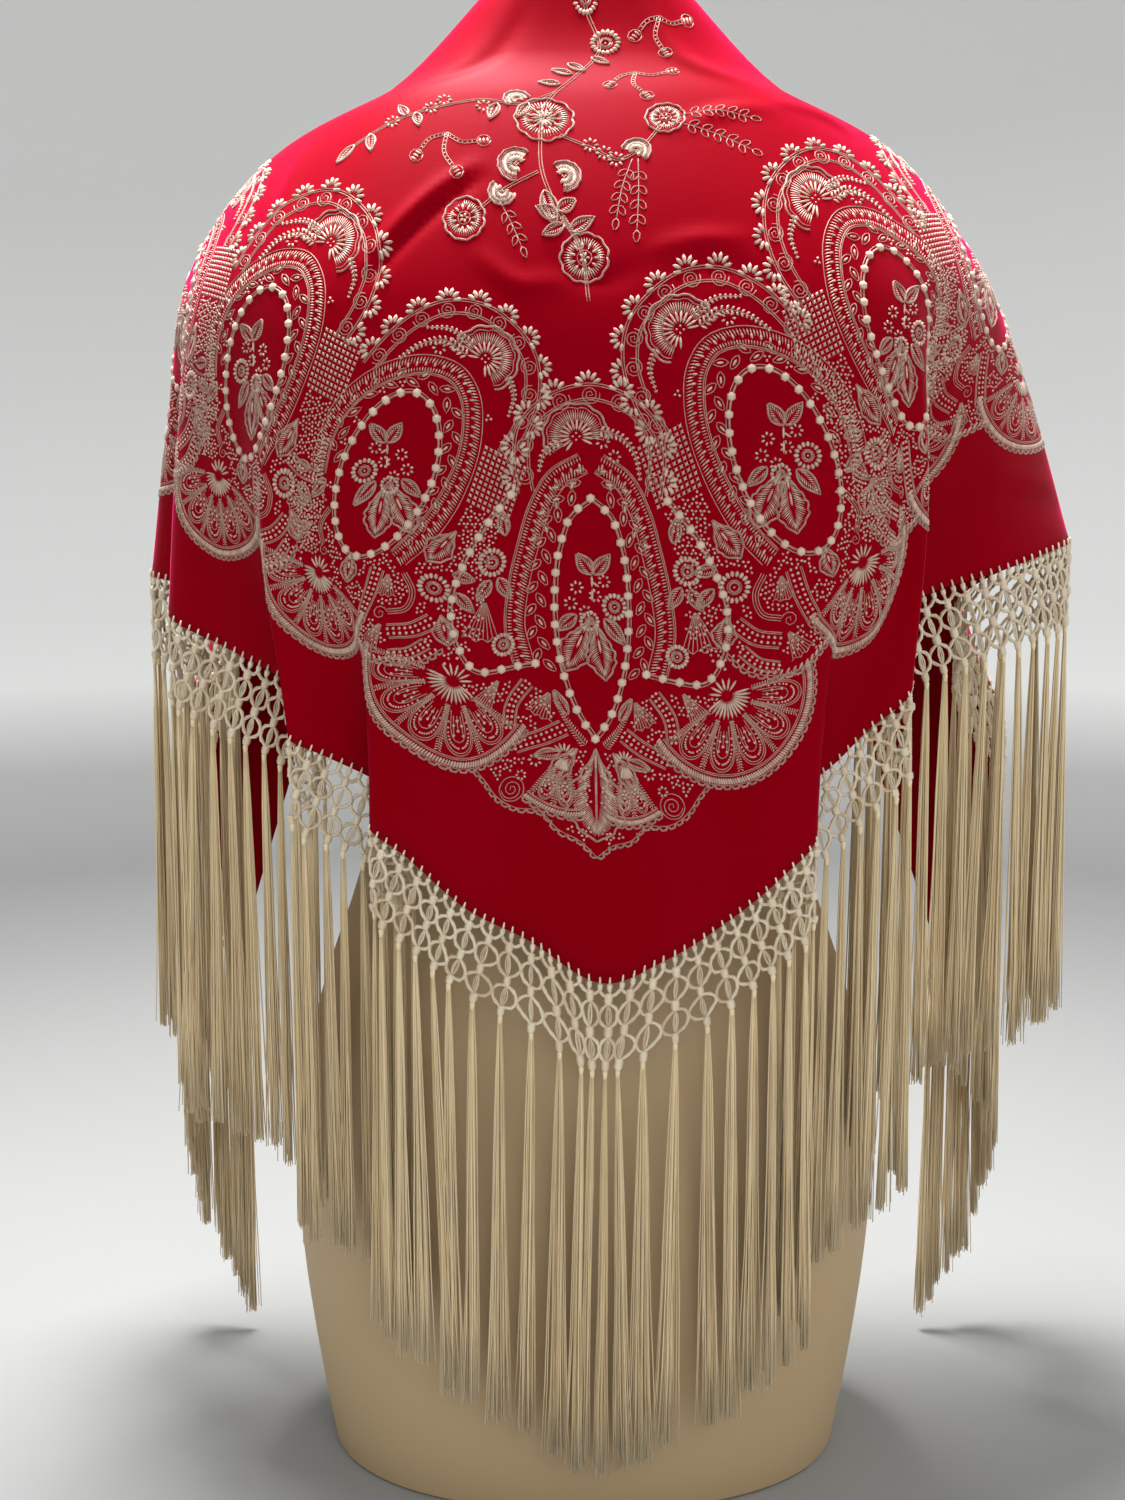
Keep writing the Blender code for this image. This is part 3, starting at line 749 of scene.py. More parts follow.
def sown(work, ground, bare=(), pitch=0.42):
    """Seeds of three short stitches on whatever ground the other stitches leave free inside an outline."""
    taken = [places.mean(axis=1) for _, places in work if places.ndim == 2]
    for _, places in work:
        is_line = places.ndim == 1 and places.size > 2 and np.abs(np.diff(places)).max() < 4
        taken.append(spaced(places, 0.16)[0] if is_line else places.ravel())
    taken = np.concatenate(taken)
    ground = np.array(ground)
    across = np.arange(ground.real.min(), ground.real.max(), pitch)
    down = np.arange(ground.imag.min(), ground.imag.max(), pitch * 0.86)
    spots = (across[None] + 1j * down[:, None] + (np.arange(len(down)) % 2)[:, None] * pitch / 2).ravel()

    def within(outline):
        corners = np.append(outline, outline[0])[None, :] - spots[:, None]
        return np.abs(np.angle(corners[:, 1:] / corners[:, :-1]).sum(axis=1)) > np.pi

    free = within(ground) & (np.abs(spots[:, None] - taken[None]).min(axis=1) > pitch * 0.52)
    if len(bare):
        free &= ~within(bare)
    spots = spots[free]
    lean = np.exp(2j * np.pi * np.cos(spots.real * 3.1 + spots.imag * 1.7))
    return [("satin", np.column_stack([spots + 0.05 * lean * way, spots + 0.22 * lean * way]))
            for way in np.exp(np.array([0.0, 2.1, -2.1]) * 1j)]


def placed(work, at, size=1.0, flip=False):
    """The same work at a place and in a size, mirrored if flip is true."""
    moved = [(kind, at + size * places) for kind, places in work]
    return [(kind, -np.conj(places)) for kind, places in moved] if flip else moved


def spray_of_flowers(at):
    """The small bunch inside a medallion: leaves, ring flowers, one larger flower and hanging winged leaves."""
    work = leaf(at - 1.6j, at - 0.75 - 2.65j, 0.72) + leaf(at + 0.1 - 1.6j, at + 0.95 - 2.7j, 0.66)
    work += [("satin", np.array([[at - 1.6j, at - 0.9j], [at - 0.9j, at - 0.2j], [at - 0.1 - 1.3j, at + 0.4 - 1.0j]]))]
    for where in (-0.75 - 0.95j, -1.05 - 0.15j, 0.15 - 0.55j, 0.62 - 1.35j, -0.35 + 0.25j):
        work += ring_flower(at + where)
    work += rosette(at + 1.15 - 0.15j, 0.74, petals=8) + rosette(at - 0.15 + 0.72j, 0.55, petals=7)
    work += wing(at - 0.15 + 0.6j, at - 1.35 + 3.3j, 1.5) + wing(at + 0.1 + 0.7j, at + 0.65 + 3.6j, 1.5)
    work += leaf(at + 0.6 + 0.5j, at + 1.75 + 1.7j, 0.7) + leaf(at - 0.8 + 0.4j, at - 1.75 + 1.3j, 0.62)
    return work


def oval(at, long, wide, tilt):
    """An oval line round a place, tilted by some degrees."""
    turn = np.linspace(-np.pi / 2, 1.5 * np.pi, 70)
    return at + (wide * np.cos(turn) + 1j * long * np.sin(turn)) * np.exp(-1j * np.radians(tilt))


def side_medallion():
    """One repeat of the border beside the middle: arch, fan flower, bands, medallion, fillings and scallop."""
    arch = bend([-5.8 - 1.1j, -6.9 - 2.8j, -7.5 - 4.8j, -7.3 - 6.5j, -6.15 - 8.1j, -4.8 - 9.0j, -2.9 - 9.2j,
                 -1.3 - 8.5j, 0.2 - 7.2j, 1.1 - 6.1j], 90)
    work = arch_of_spirals(arch, 11)
    work += fan_flower(-5.0 - 6.4j, 218.0, 1.8) + ring_flower(-3.5 - 7.2j, 0.44) + ring_flower(-2.6 - 7.0j, 0.40)
    for path, width, pitch in (
        ([-4.0 - 6.6j, -2.9 - 7.4j, -1.7 - 7.2j, -0.6 - 6.5j], 0.34, 0.26),
        ([-4.3 - 7.2j, -3.2 - 8.0j, -2.0 - 8.1j], 0.26, 0.26), ([-6.2 - 5.4j, -6.5 - 4.4j, -6.2 - 3.4j], 0.24, 0.24),
    ):
        work += herringbone(bend(path), width, kind="satin", pitch=pitch)
    work += ladder(bend([
        3.8 - 0.8j, 3.4 - 2.4j, 2.5 - 4.0j, 1.1 - 5.2j, -0.5 - 5.9j, -2.1 - 6.1j, -3.5 - 5.6j, -4.2 - 4.4j,
        -4.3 - 3.0j, -4.1 - 1.6j, -3.5 + 0.1j, -2.7 + 1.7j, -1.7 + 3.2j, -0.6 + 4.4j,
    ], 60), 1.05)
    work += bead_line(oval(0.1 - 0.2j, 4.65, 2.35, 20)) + leaf_run(bend([
        2.75 - 1.2j, 2.3 - 3.2j, 1.0 - 4.8j, -0.6 - 5.35j, -2.1 - 5.2j, -3.1 - 4.3j, -3.3 - 3.0j, -3.1 - 1.4j,
        -2.6 + 0.4j, -1.8 + 2.0j, -0.8 + 3.6j,
    ], 60))
    work += spray_of_flowers(0.0 - 0.3j)
    work += lattice(-5.5 + 0.2j, 2.3 - 1.3j, 1.1 + 3.1j) + wing(-3.4 + 2.6j, -2.0 + 4.4j, 1.3, teeth=4)
    work += rosette(-2.3 + 5.8j, 0.86) + leaf(-3.2 + 4.9j, -4.3 + 5.2j, 0.6) + leaf(-3.3 + 5.9j, -4.2 + 6.9j, 0.6)
    work += scroll(bend([-0.9 + 5.2j, -1.3 + 6.2j, -0.9 + 7.2j, 0.0 + 7.4j]), 0.42)
    work += wing(-2.6 + 7.2j, -2.9 + 8.8j, 1.2, teeth=4)
    work += bead_band(bend([-2.2 + 7.6j, -1.2 + 8.3j, 0.0 + 8.5j]))
    work += bead_band(bend([0.5 + 5.0j, 1.0 + 6.4j, 1.7 + 7.6j]))
    work += bead_band(bend([-1.9 + 8.9j, -1.0 + 9.6j, 0.0 + 9.8j]), 0.6) + shell(-0.1 + 5.2j, 0.1 + 6.5j, 1.1)
    work += shell(0.3 + 8.0j, 1.2 + 9.2j, 1.3) + ring_flower(-3.9 + 7.9j) + ring_flower(1.9 + 8.7j, 0.32)
    work += [("bead_small", np.array([-3.3 + 9.4j, -2.7 + 9.8j, -3.9 + 8.9j, 1.6 + 5.2j, 2.0 + 6.2j]))]
    work += scroll(bend([3.1 + 1.2j, 3.9 + 2.0j, 3.9 + 3.0j]), 0.34) + leaf(3.3 - 0.4j, 4.4 + 0.4j, 0.7)
    work += wing(2.0 + 3.9j, 2.6 + 5.4j, 1.2) + bead_band(bend([3.9 - 0.6j, 5.0 - 1.1j, 5.9 - 1.9j]), 0.7)
    work += shell(4.3 + 0.4j, 6.2 + 0.7j, 1.6) + shell(4.3 + 1.7j, 6.2 + 2.1j, 1.4)
    work += herringbone(bend([3.3 - 2.6j, 3.6 - 1.2j, 3.5 + 0.4j]), 0.3, kind="satin", pitch=0.24)
    work += fan(4.7 + 4.4j, 54.0, 4.35)
    edge = bend([-2.6 + 9.0j, -1.6 + 9.9j, -0.2 + 10.2j, 1.2 + 9.9j, 2.2 + 9.0j, 2.9 + 8.3j], 40)
    work += picots(edge[::-1]) + [("satin", np.column_stack([edge[2:-2:2], edge[3:-1:2] - 0.3j]))]
    ground = [
        -6.4 + 1.4j, -5.4 + 3.2j, -4.8 + 5.5j, -4.5 + 8.0j, -3.4 + 9.6j, -1.5 + 9.9j, 1.5 + 9.6j, 2.7 + 8.2j,
        4.0 + 6.0j, 4.4 + 3.6j, 6.2 + 2.8j, 6.3 - 1.2j, 4.4 - 1.4j, 3.6 - 3.2j, 2.4 - 4.9j, 0.9 - 6.1j,
        -1.0 - 6.9j, -2.8 - 6.9j, -4.6 - 5.4j, -5.2 - 3.8j, -5.0 - 1.5j, -6.0 - 0.6j,
    ]
    return work + sown(work, ground, bare=oval(0.1 - 0.2j, 4.7, 2.45, 20))


def centre_medallion():
    """The middle of the border, over the back point: the right half is worked and then mirrored."""
    half = ladder(bend([0.4 - 7.6j, 1.6 - 6.9j, 2.5 - 5.4j, 3.1 - 3.5j, 3.6 - 1.4j, 3.8 + 0.7j, 3.4 + 2.4j]), 1.05)
    half += bead_line(bend([
        3.9 - 6.0j, 5.2 - 4.5j, 6.3 - 2.6j, 6.9 - 0.5j, 6.7 + 1.4j, 5.9 + 2.7j, 4.1 + 2.7j, 2.8 + 2.5j,
    ]))
    half += rosette(4.9 - 2.7j, 0.80) + leaf(4.6 - 1.9j, 4.0 - 0.8j, 0.62) + leaf(5.0 - 1.8j, 5.7 - 0.8j, 0.62)
    half += shell(5.3 - 0.9j, 5.5 + 1.2j, 1.9) + rosette(4.4 + 1.5j, 0.66) + leaf(4.2 - 4.0j, 4.4 - 5.3j, 0.6)
    half += fan(6.9 + 3.3j, 62.0, 4.25) + bead_band(bend([1.5 + 5.6j, 2.6 + 6.3j, 3.9 + 6.8j]))
    half += bead_band(bend([3.2 + 3.5j, 4.0 + 4.6j, 4.2 + 5.8j]), 0.7) + shell(2.1 + 3.8j, 2.7 + 5.2j, 1.3)
    half += shell(4.6 + 3.2j, 5.6 + 4.6j, 1.2) + ring_flower(2.9 + 7.5j) + ring_flower(3.6 + 8.3j, 0.3)
    half += spiral(4.1 + 9.0j, 0.55) + ring(4.1 + 9.0j, 0.66) + leaf(1.3 + 4.9j, 2.0 + 3.7j, 0.5)
    half += picots(bend([
        6.0 + 7.75j, 5.5 + 8.4j, 4.9 + 9.3j, 3.9 + 10.0j, 2.6 + 10.2j, 1.9 + 10.9j, 0.9 + 11.3j, 0.0 + 12.2j,
    ], 40))
    half += fan(1.5 + 7.0j, 78.0, 3.0, spread=24.0, petals=2)
    half += leaf_run(bend([0.5 - 6.7j, 1.7 - 5.4j, 2.3 - 3.6j, 2.65 - 1.6j, 2.75 + 0.6j, 2.3 + 2.8j], 40), 0.58)
    half += leaf_run(bend([0.2 - 7.2j, 1.2 - 6.6j, 2.1 - 5.2j, 2.7 - 3.4j], 30), 0.66, 0.6) + foot_leaves()
    half += sown(half, [
        0.9 + 6.2j, 2.0 + 4.0j, 4.0 + 3.2j, 6.6 + 3.3j, 6.0 + 6.0j, 5.2 + 8.0j, 4.4 + 9.6j, 2.4 + 9.8j,
        1.5 + 10.6j, 0.3 + 11.6j, 0.2 + 7.6j,
    ])
    arch = bend([3.2 - 6.1j, 3.4 - 7.6j, 3.2 - 9.2j, 2.0 - 10.5j, 0.0 - 11.1j, -2.0 - 10.5j, -3.2 - 9.2j, -3.4 - 7.6j,
                 -3.2 - 6.1j][::-1], 80)
    work = half + placed(half, 0, flip=True) + arch_of_spirals(arch, 9)
    work += fan_flower(-0.7 - 8.9j, 255.0, 1.65) + ring_flower(0.6 - 8.7j, 0.4) + ring_flower(1.2 - 8.0j, 0.36)
    work += herringbone(bend([0.5 - 9.2j, 1.6 - 8.9j, 2.3 - 8.0j, 2.5 - 7.0j]), 0.3, kind="satin", pitch=0.25)
    work += herringbone(bend([-1.6 - 8.6j, -2.3 - 8.0j, -2.5 - 7.2j]), 0.26, kind="satin", pitch=0.25)
    pointed = bend([
        -0.05 - 5.9j, 0.9 - 5.2j, 1.6 - 3.4j, 1.85 - 1.2j, 1.8 + 1.0j, 1.45 + 3.0j, 0.8 + 4.8j, 0.0 + 6.1j,
    ], 40)
    work += bead_line(pointed) + bead_line(-np.conj(pointed)) + spray_of_flowers(-0.05 - 0.6j)
    work += wing(6.6j, 11.4j, 3.0, teeth=6) + [("cord", np.array([6.6j, 8.0j, 9.6j, 11.0j]))]
    return work


def foot_leaves():
    """The small leaves and hatching between the middle medallion and its scallops."""
    work = herringbone(bend([0.5 + 6.4j, 1.3 + 5.3j, 1.9 + 4.3j]), 0.3) + leaf(1.7 + 6.9j, 3.0 + 7.3j, 0.55)
    return work + wing(0.9 + 6.6j, 2.2 + 8.4j, 0.9, teeth=4)


def neck_sprays():
    """Loose flowering branches that run down from the neck to the top of the border."""
    work = []
    stem = bend([-0.6 + 0.4j, -0.1 + 2.0j, 0.6 + 3.9j, -0.6 + 6.6j, -2.0 + 9.0j, -2.4 + 11.8j, -2.3 + 13.6j,
                 -1.6 + 15.4j, -0.4 + 17.4j, 0.0 + 20.1j], 90)
    work += [("thread", beside(stem, d)) for d in (-0.07, 0.07)] + herringbone(stem[70:86], 0.2)
    left = bend([-1.6 + 8.2j, -3.4 + 9.3j, -5.4 + 9.0j, -7.6 + 9.5j, -10.1 + 10.4j, -12.4 + 11.6j], 60)
    right = bend([-1.4 + 11.4j, 0.2 + 12.2j, 1.6 + 12.9j, 2.6 + 12.3j, 3.6 + 11.0j], 40)
    for path in (left, right, bend([-2.5 + 13.6j, -4.2 + 14.6j, -5.6 + 15.7j])):
        work += [("thread", beside(path, 0.06)), ("thread", beside(path, -0.06))]
    for where, radius in ((0.9 + 3.8j, 0.85), (-2.2 + 10.3j, 1.55), (-0.2 + 17.9j, 1.25), (-6.2 + 16.0j, 1.1),
                          (3.9 + 10.3j, 1.05), (-0.1 + 1.7j, 0.7)):
        work += rosette(where, radius, petals=11 if radius > 1 else 9)
    work += rays(-2.2 + 10.3j, 0.1, 0.7, np.arange(14) * 25.7, "satin") + ring_flower(-2.2 + 9.7j, 0.45)
    work += fan_flower(-3.6 + 13.2j, 200.0, 0.95) + fan_flower(-1.2 + 13.8j, -20.0, 0.85)
    work += fan_flower(-4.3 + 14.7j, 120, 0.7)
    for where in (0.1 + 12.0j, 0.8 + 12.5j, 1.4 + 12.9j, -8.1 + 9.6j, -5.3 + 9.5j, -10.2 + 10.4j, -7.4 + 9.0j):
        work += ring_flower(where, 0.46, petals=8)
    work += fan_flower(2.4 + 12.4j, 300.0, 0.75) + fan_flower(-3.6 + 8.9j, 240.0, 0.7)
    for foot, tip, width in (
        (-2.2 + 14.6j, -1.6 + 16.4j, 0.8), (-1.5 + 15.6j, -0.6 + 15.0j, 0.7), (-1.5 + 15.9j, -2.6 + 15.4j, 0.7),
        (-1.2 + 16.3j, -2.3 + 16.8j, 0.6), (-0.9 + 16.6j, 0.3 + 15.9j, 0.7), (-4.6 + 9.3j, -5.0 + 10.5j, 0.6),
        (-3.0 + 9.2j, -3.6 + 10.3j, 0.55), (-9.4 + 10.1j, -9.9 + 9.1j, 0.5), (-11.4 + 11.0j, -11.3 + 12.2j, 0.55),
        (-12.3 + 11.5j, -13.3 + 12.4j, 0.5), (-1.0 + 5.4j, -0.1 + 6.1j, 0.5), (0.2 + 4.8j, 1.1 + 5.4j, 0.45),
        (-1.4 + 7.4j, -2.5 + 7.3j, 0.5), (-8.9 + 9.9j, -8.7 + 10.9j, 0.5), (-0.8 + 6.4j, -1.9 + 6.0j, 0.5),
    ):
        work += leaf(foot, tip, width)
    for path, leaf_length, pairs in (
        ([4.6 + 10.2j, 6.4 + 9.9j, 8.4 + 10.3j], 0.52, 5), ([4.4 + 10.7j, 6.4 + 11.4j, 8.4 + 12.4j], 0.52, 5),
        ([2.2 + 12.9j, 1.7 + 14.4j, 1.4 + 16.0j], 0.50, 4), ([2.5 + 12.9j, 2.5 + 14.8j, 2.4 + 16.6j], 0.50, 4),
        ([-4.4 + 15.2j, -3.8 + 16.3j, -3.3 + 17.4j], 0.45, 3),
    ):
        work += loop_spray(bend(path), leaf_length, pairs)
    work += twig(2.4 + 6.4j, [1.3 + 7.2j, 2.8 + 8.3j, 4.0 + 6.4j])
    work += twig(-7.2 + 11.4j, [-8.6 + 12.4j, -6.8 + 13.4j, -5.6 + 11.9j])
    work += twig(3.6 + 2.6j, [2.6 + 3.2j, 3.8 + 4.3j, 4.9 + 2.6j])
    return work


def to_the_tip():
    """The end of the border: flowers that grow smaller along a stem, with a pair of leaves between each two."""
    stem = bend([50.6 + 7.2j, 53.4 + 5.6j, 56.4 + 4.2j, 59.2 + 3.1j, 61.6 + 2.3j], 40)
    work = [("thread", beside(stem, d)) for d in (-0.06, 0.06)]
    for where, radius in ((52.6 + 6.1j, 1.45), (55.5 + 4.6j, 1.2), (58.0 + 3.6j, 0.95), (60.1 + 2.8j, 0.7)):
        work += rosette(where, radius, petals=9)
        for side in (1, -1):
            foot = where + radius * (1.05 - 0.5j)
            work += leaf(foot, foot + radius * (0.9 - 0.4j) * np.exp(0.9j * side), radius * 0.6)
            work += wing(where, where + radius * 2.1 * np.exp(1j * (1.9 * side - 0.5)), radius)
    return work + ring_flower(61.6 + 2.2j)


# Where the medallions of each side lie, and their sizes against the first. The border was stretched a little
# more on the right side when it was worked.
LEFT_REPEATS = [
    (9.8 + 29.0j, 0.94), (18.0 + 22.9j, 0.96), (25.9 + 16.3j, 0.95), (33.0 + 11.8j, 0.82), (39.3 + 8.3j, 0.66),
    (44.8 + 5.7j, 0.50), (49.4 + 4.3j, 0.38),
]
RIGHT_REPEATS = [
    (9.5 + 27.9j, 1.0), (16.7 + 21.2j, 1.0), (24.5 + 14.8j, 1.0), (32.1 + 10.9j, 0.85), (38.9 + 8.0j, 0.66),
    (44.6 + 5.6j, 0.50), (49.3 + 4.2j, 0.38),
]
SMALL_REPEAT = 0.7  # below this size every second single stitch is left out
motif = side_medallion()
small_motif = [(kind, places if places.ndim == 1 else places[::2]) for kind, places in motif]
needlework = placed(centre_medallion(), 35.7j) + neck_sprays()
for flip, repeats in ((True, LEFT_REPEATS), (False, RIGHT_REPEATS)):
    for where, size in repeats:
        needlework += placed(motif if size > SMALL_REPEAT else small_motif, where, size, flip)
    needlework += placed(to_the_tip(), 0, flip=flip)

cloth_lookup = kdtree.KDTree(columns * rows)
for index, (s, t) in enumerate(cloth_flat.reshape(-1, 2)):
    cloth_lookup.insert((s, t, 0), index)
cloth_lookup.balance()


def on_cloth(flat):
    """The worn place and outward direction of each flat place, which is in centimetres as x + 1j * y."""
    wanted = np.column_stack([flat.real, flat.imag]) / 100
    nearest = np.array([cloth_lookup.find((s, t, 0))[1] for s, t in wanted])
    i, j = (nearest // rows).astype(float), (nearest % rows).astype(float)

    def read(table, i, j):
        i0, j0 = np.clip(i.astype(int), 0, columns - 2), np.clip(j.astype(int), 0, rows - 2)
        fi, fj = (i - i0)[:, None], (j - j0)[:, None]
        return (
            (table[i0, j0] * (1 - fi) + table[i0 + 1, j0] * fi) * (1 - fj)
            + (table[i0, j0 + 1] * (1 - fi) + table[i0 + 1, j0 + 1] * fi) * fj
        ), table[i0 + 1, j0] - table[i0, j0], table[i0, j0 + 1] - table[i0, j0]

    # Four steps towards the wanted place, by the slopes of the cloth's grid.
    for _ in range(4):
        here, over, down = read(cloth_flat, i, j)
        miss = wanted - here
        area = over[:, 0] * down[:, 1] - over[:, 1] * down[:, 0]
        area = np.where(np.abs(area) < 1e-12, 1e-12, area)
        i += np.clip((miss[:, 0] * down[:, 1] - miss[:, 1] * down[:, 0]) / area, -1, 1)
        j += np.clip((over[:, 0] * miss[:, 1] - over[:, 1] * miss[:, 0]) / area, -1, 1)
        i, j = np.clip(i, 0, columns - 1), np.clip(j, 0, rows - 1)
    place, normal = read(cloth_places, i, j)[0], read(cloth_normals, i, j)[0]
    return place, normal / np.linalg.norm(normal, axis=1, keepdims=True)


def stitched(work):
    """Every stroke as lines, single stitches or dots, each with its half width and height in centimetres."""
    lines, line_sizes, ends, sizes, dots, dot_sizes = [], [], [], [], [], []
    for kind, places in work:
        half_width, height, step = STITCHES[kind]
        if step == 0:
            dots.append(np.atleast_1d(places))
            dot_sizes += [(half_width, height)] * dots[-1].size
        elif places.ndim == 2:
            ends.append(places)
            sizes += [(half_width, height)] * len(places)
        else:
            length = np.abs(np.diff(places)).sum()
            lines.append(spaced(places, min(step, length / 2))[0])
            line_sizes.append((half_width, height))
    dots = np.concatenate(dots)
    first_here = np.unique(np.round(dots * 8), return_index=True)[1]
    return (lines, np.array(line_sizes), np.concatenate(ends), np.array(sizes), dots[first_here],
            np.array(dot_sizes)[first_here])


def inside_cloth(flat):
    """Which flat places lie on the cloth, clear of its edges."""
    edge = 100 * leg_depth(np.minimum(np.abs(flat.real) / 100, HALF_WIDTH))
    return (flat.imag > 0.25) & (flat.imag < edge - EDGE_MARGIN)


lines, line_sizes, stitch_ends, stitch_sizes, dots, dot_sizes = stitched(needlework)
line_sizes = line_sizes / 100
kept = inside_cloth(stitch_ends[:, 0]) & inside_cloth(stitch_ends[:, 1])
stitch_ends, stitch_sizes = stitch_ends[kept], stitch_sizes[kept] / 100
kept = inside_cloth(dots)
dots, dot_sizes = dots[kept], dot_sizes[kept] / 100

cream_stitch = Finish("cream_stitch", THREAD_CREAM, Roughness=0.50, Sheen_Weight=0.3)
tone = cream_stitch.thread_tone()
place = cream_stitch.object_place()
cream_stitch.set("Base Color", cream_stitch.blend(tone, THREAD_CREAM, THREAD_PALE))
cream_stitch.set("Roughness", cream_stitch.noise(place, 300.0) * 0.2 + 0.38)

# Each thin stitch is a spindle of four faces, each satin one is fuller, and each dot is a small dome.
THIN_FACES = np.array([(0, 2, 3), (1, 3, 2), (0, 1, 2), (0, 3, 1)])
FULL_FACES = np.array([
    (0, 2, 4), (0, 4, 3), (0, 3, 2), (1, 7, 5), (1, 6, 7), (1, 5, 6),
    (2, 5, 7), (2, 7, 4), (4, 7, 6), (4, 6, 3), (3, 6, 5), (3, 5, 2),
])
SATIN_SHOULDERS = (0.27, 0.73)  # where a full stitch is thickest, as shares of its length
DOME_SIDES = 6
DOME_SHOULDER = (0.72, 0.74)  # its height and reach, as shares of the crown's height and the rim's reach
LARGE_DOT = 0.0012  # dots wider than this have a shoulder
PALEST_LINE = 0.4  # the running lines are darker than the single stitches
NEEDLEWORK_PARTS = {
    "left_tail": (-99.0, -27.0), "left": (-27.0, -11.0), "middle": (-11.0, 11.0), "right": (11.0, 27.0),
    "right_tail": (27.0, 99.0),
}
rng = np.random.default_rng(5)


def thin_stitches(first, last, up, sizes):
    """The corners of spindles: both ends, and both sides of the raised middle."""
    way = last - first
    side = np.cross(up, way)
    side *= sizes[:, :1] / np.linalg.norm(side, axis=1, keepdims=True)
    middle, low, high = (first + last) / 2, up * THREAD_BASE, up * (sizes[:, 1:] + THREAD_BASE)
    return np.stack([first + low, last + low, middle - side + high * 0.9, middle + side + high * 0.9], axis=1)


def full_stitches(first, last, up, sizes):
    """The corners of fuller stitches: both ends, and three round each shoulder."""
    way = last - first
    side = np.cross(up, way)
    side *= sizes[:, :1] / np.linalg.norm(side, axis=1, keepdims=True)
    low, high = up * THREAD_BASE, up * (sizes[:, 1:] + THREAD_BASE)
    near, far = (first + way * share for share in SATIN_SHOULDERS)
    return np.stack([first + low, last + low, near - side + low, near + side + low, near + high,
                     far - side + low, far + side + low, far + high], axis=1)


def run_lines(chosen):
    """Continuous threads: three corners at each point of a line, and faces from each point to the next."""
    points = np.concatenate([lines[k] for k in chosen])
    numbers = np.concatenate([np.full(len(lines[k]), k) for k in chosen])
    place, up = on_cloth(points)
    way = np.zeros_like(place)
    same = (numbers[1:] == numbers[:-1])[:, None]
    step = np.diff(place, axis=0) * same
    way[:-1] += step
    way[1:] += step
    side = np.cross(up, way)
    side *= line_sizes[numbers, :1] / np.maximum(np.linalg.norm(side, axis=1, keepdims=True), 1e-9)
    low, high = up * THREAD_BASE, up * (line_sizes[numbers, 1:] + THREAD_BASE)
    corners = np.stack([place - side + low, place + side + low, place + high], axis=1)
    inside = inside_cloth(points)
    joined = same[:, 0] & inside[1:] & inside[:-1]
    begins = np.flatnonzero(joined & ~np.concatenate([[False], joined[:-1]])) * 3
    stops = (np.flatnonzero(joined & ~np.concatenate([joined[1:], [False]])) + 1) * 3
    a = np.flatnonzero(joined)[:, None] * 3
    walls = [(0, 3, 2), (2, 3, 5), (2, 5, 1), (1, 5, 4), (1, 4, 0), (0, 4, 3)]
    faces = [a + np.array(wall) for wall in walls]
    faces += [begins[:, None] + np.array([(0, 2, 1)]), stops[:, None] + np.array([(0, 1, 2)])]
    return corners.reshape(-1, 3), np.concatenate(faces)


def domes(place, up, sizes):
    """Round beads and knots: a rim on the cloth, a shoulder and a crown."""
    helper = np.where(np.abs(up[:, :1]) < 0.8, [[1.0, 0, 0]], [[0, 1.0, 0]])
    over = np.cross(up, helper)
    over /= np.linalg.norm(over, axis=1, keepdims=True)
    round_ = np.cross(up, over)
    turn = np.arange(DOME_SIDES) * 2 * np.pi / DOME_SIDES
    rim = over[:, None] * np.cos(turn)[None, :, None] + round_[:, None] * np.sin(turn)[None, :, None]
    low, high = up[:, None] * THREAD_BASE, up[:, None] * (THREAD_BASE + sizes[:, None, 1:])
    lower = place[:, None] + low + rim * sizes[:, None, :1]
    upper = place[:, None] + high * DOME_SHOULDER[0] + rim * sizes[:, None, :1] * DOME_SHOULDER[1]
    return np.concatenate([lower, upper, place[:, None] + high], axis=1)


def knots(place, up, sizes):
    """The same without a shoulder, for the smallest."""
    return np.delete(domes(place, up, sizes), range(DOME_SIDES, 2 * DOME_SIDES), axis=1)


rim = np.arange(DOME_SIDES)
rim_next = (rim + 1) % DOME_SIDES
shoulder, shoulder_next = DOME_SIDES + rim, DOME_SIDES + rim_next
dome_base = [(0, n + 1, n) for n in range(1, DOME_SIDES - 1)]
DOME_FACES = np.concatenate([
    np.column_stack([rim, rim_next, shoulder_next]), np.column_stack([rim, shoulder_next, shoulder]),
    np.column_stack([shoulder, shoulder_next, np.full_like(rim, 2 * DOME_SIDES)]), dome_base,
])
KNOT_FACES = np.concatenate([np.column_stack([rim, rim_next, np.full_like(rim, DOME_SIDES)]), dome_base])


def new_thread_piece(name, vertices, faces, tones, finish):
    """One piece from lists of vertices, faces and tones, with the tones in its tone attribute."""
    made = new_piece(name, np.concatenate(vertices), np.concatenate(faces), finish)
    tone = made.data.attributes.new("tone", "FLOAT", "POINT")
    tone.data.foreach_set("value", np.concatenate(tones).astype(np.float32))
    return made


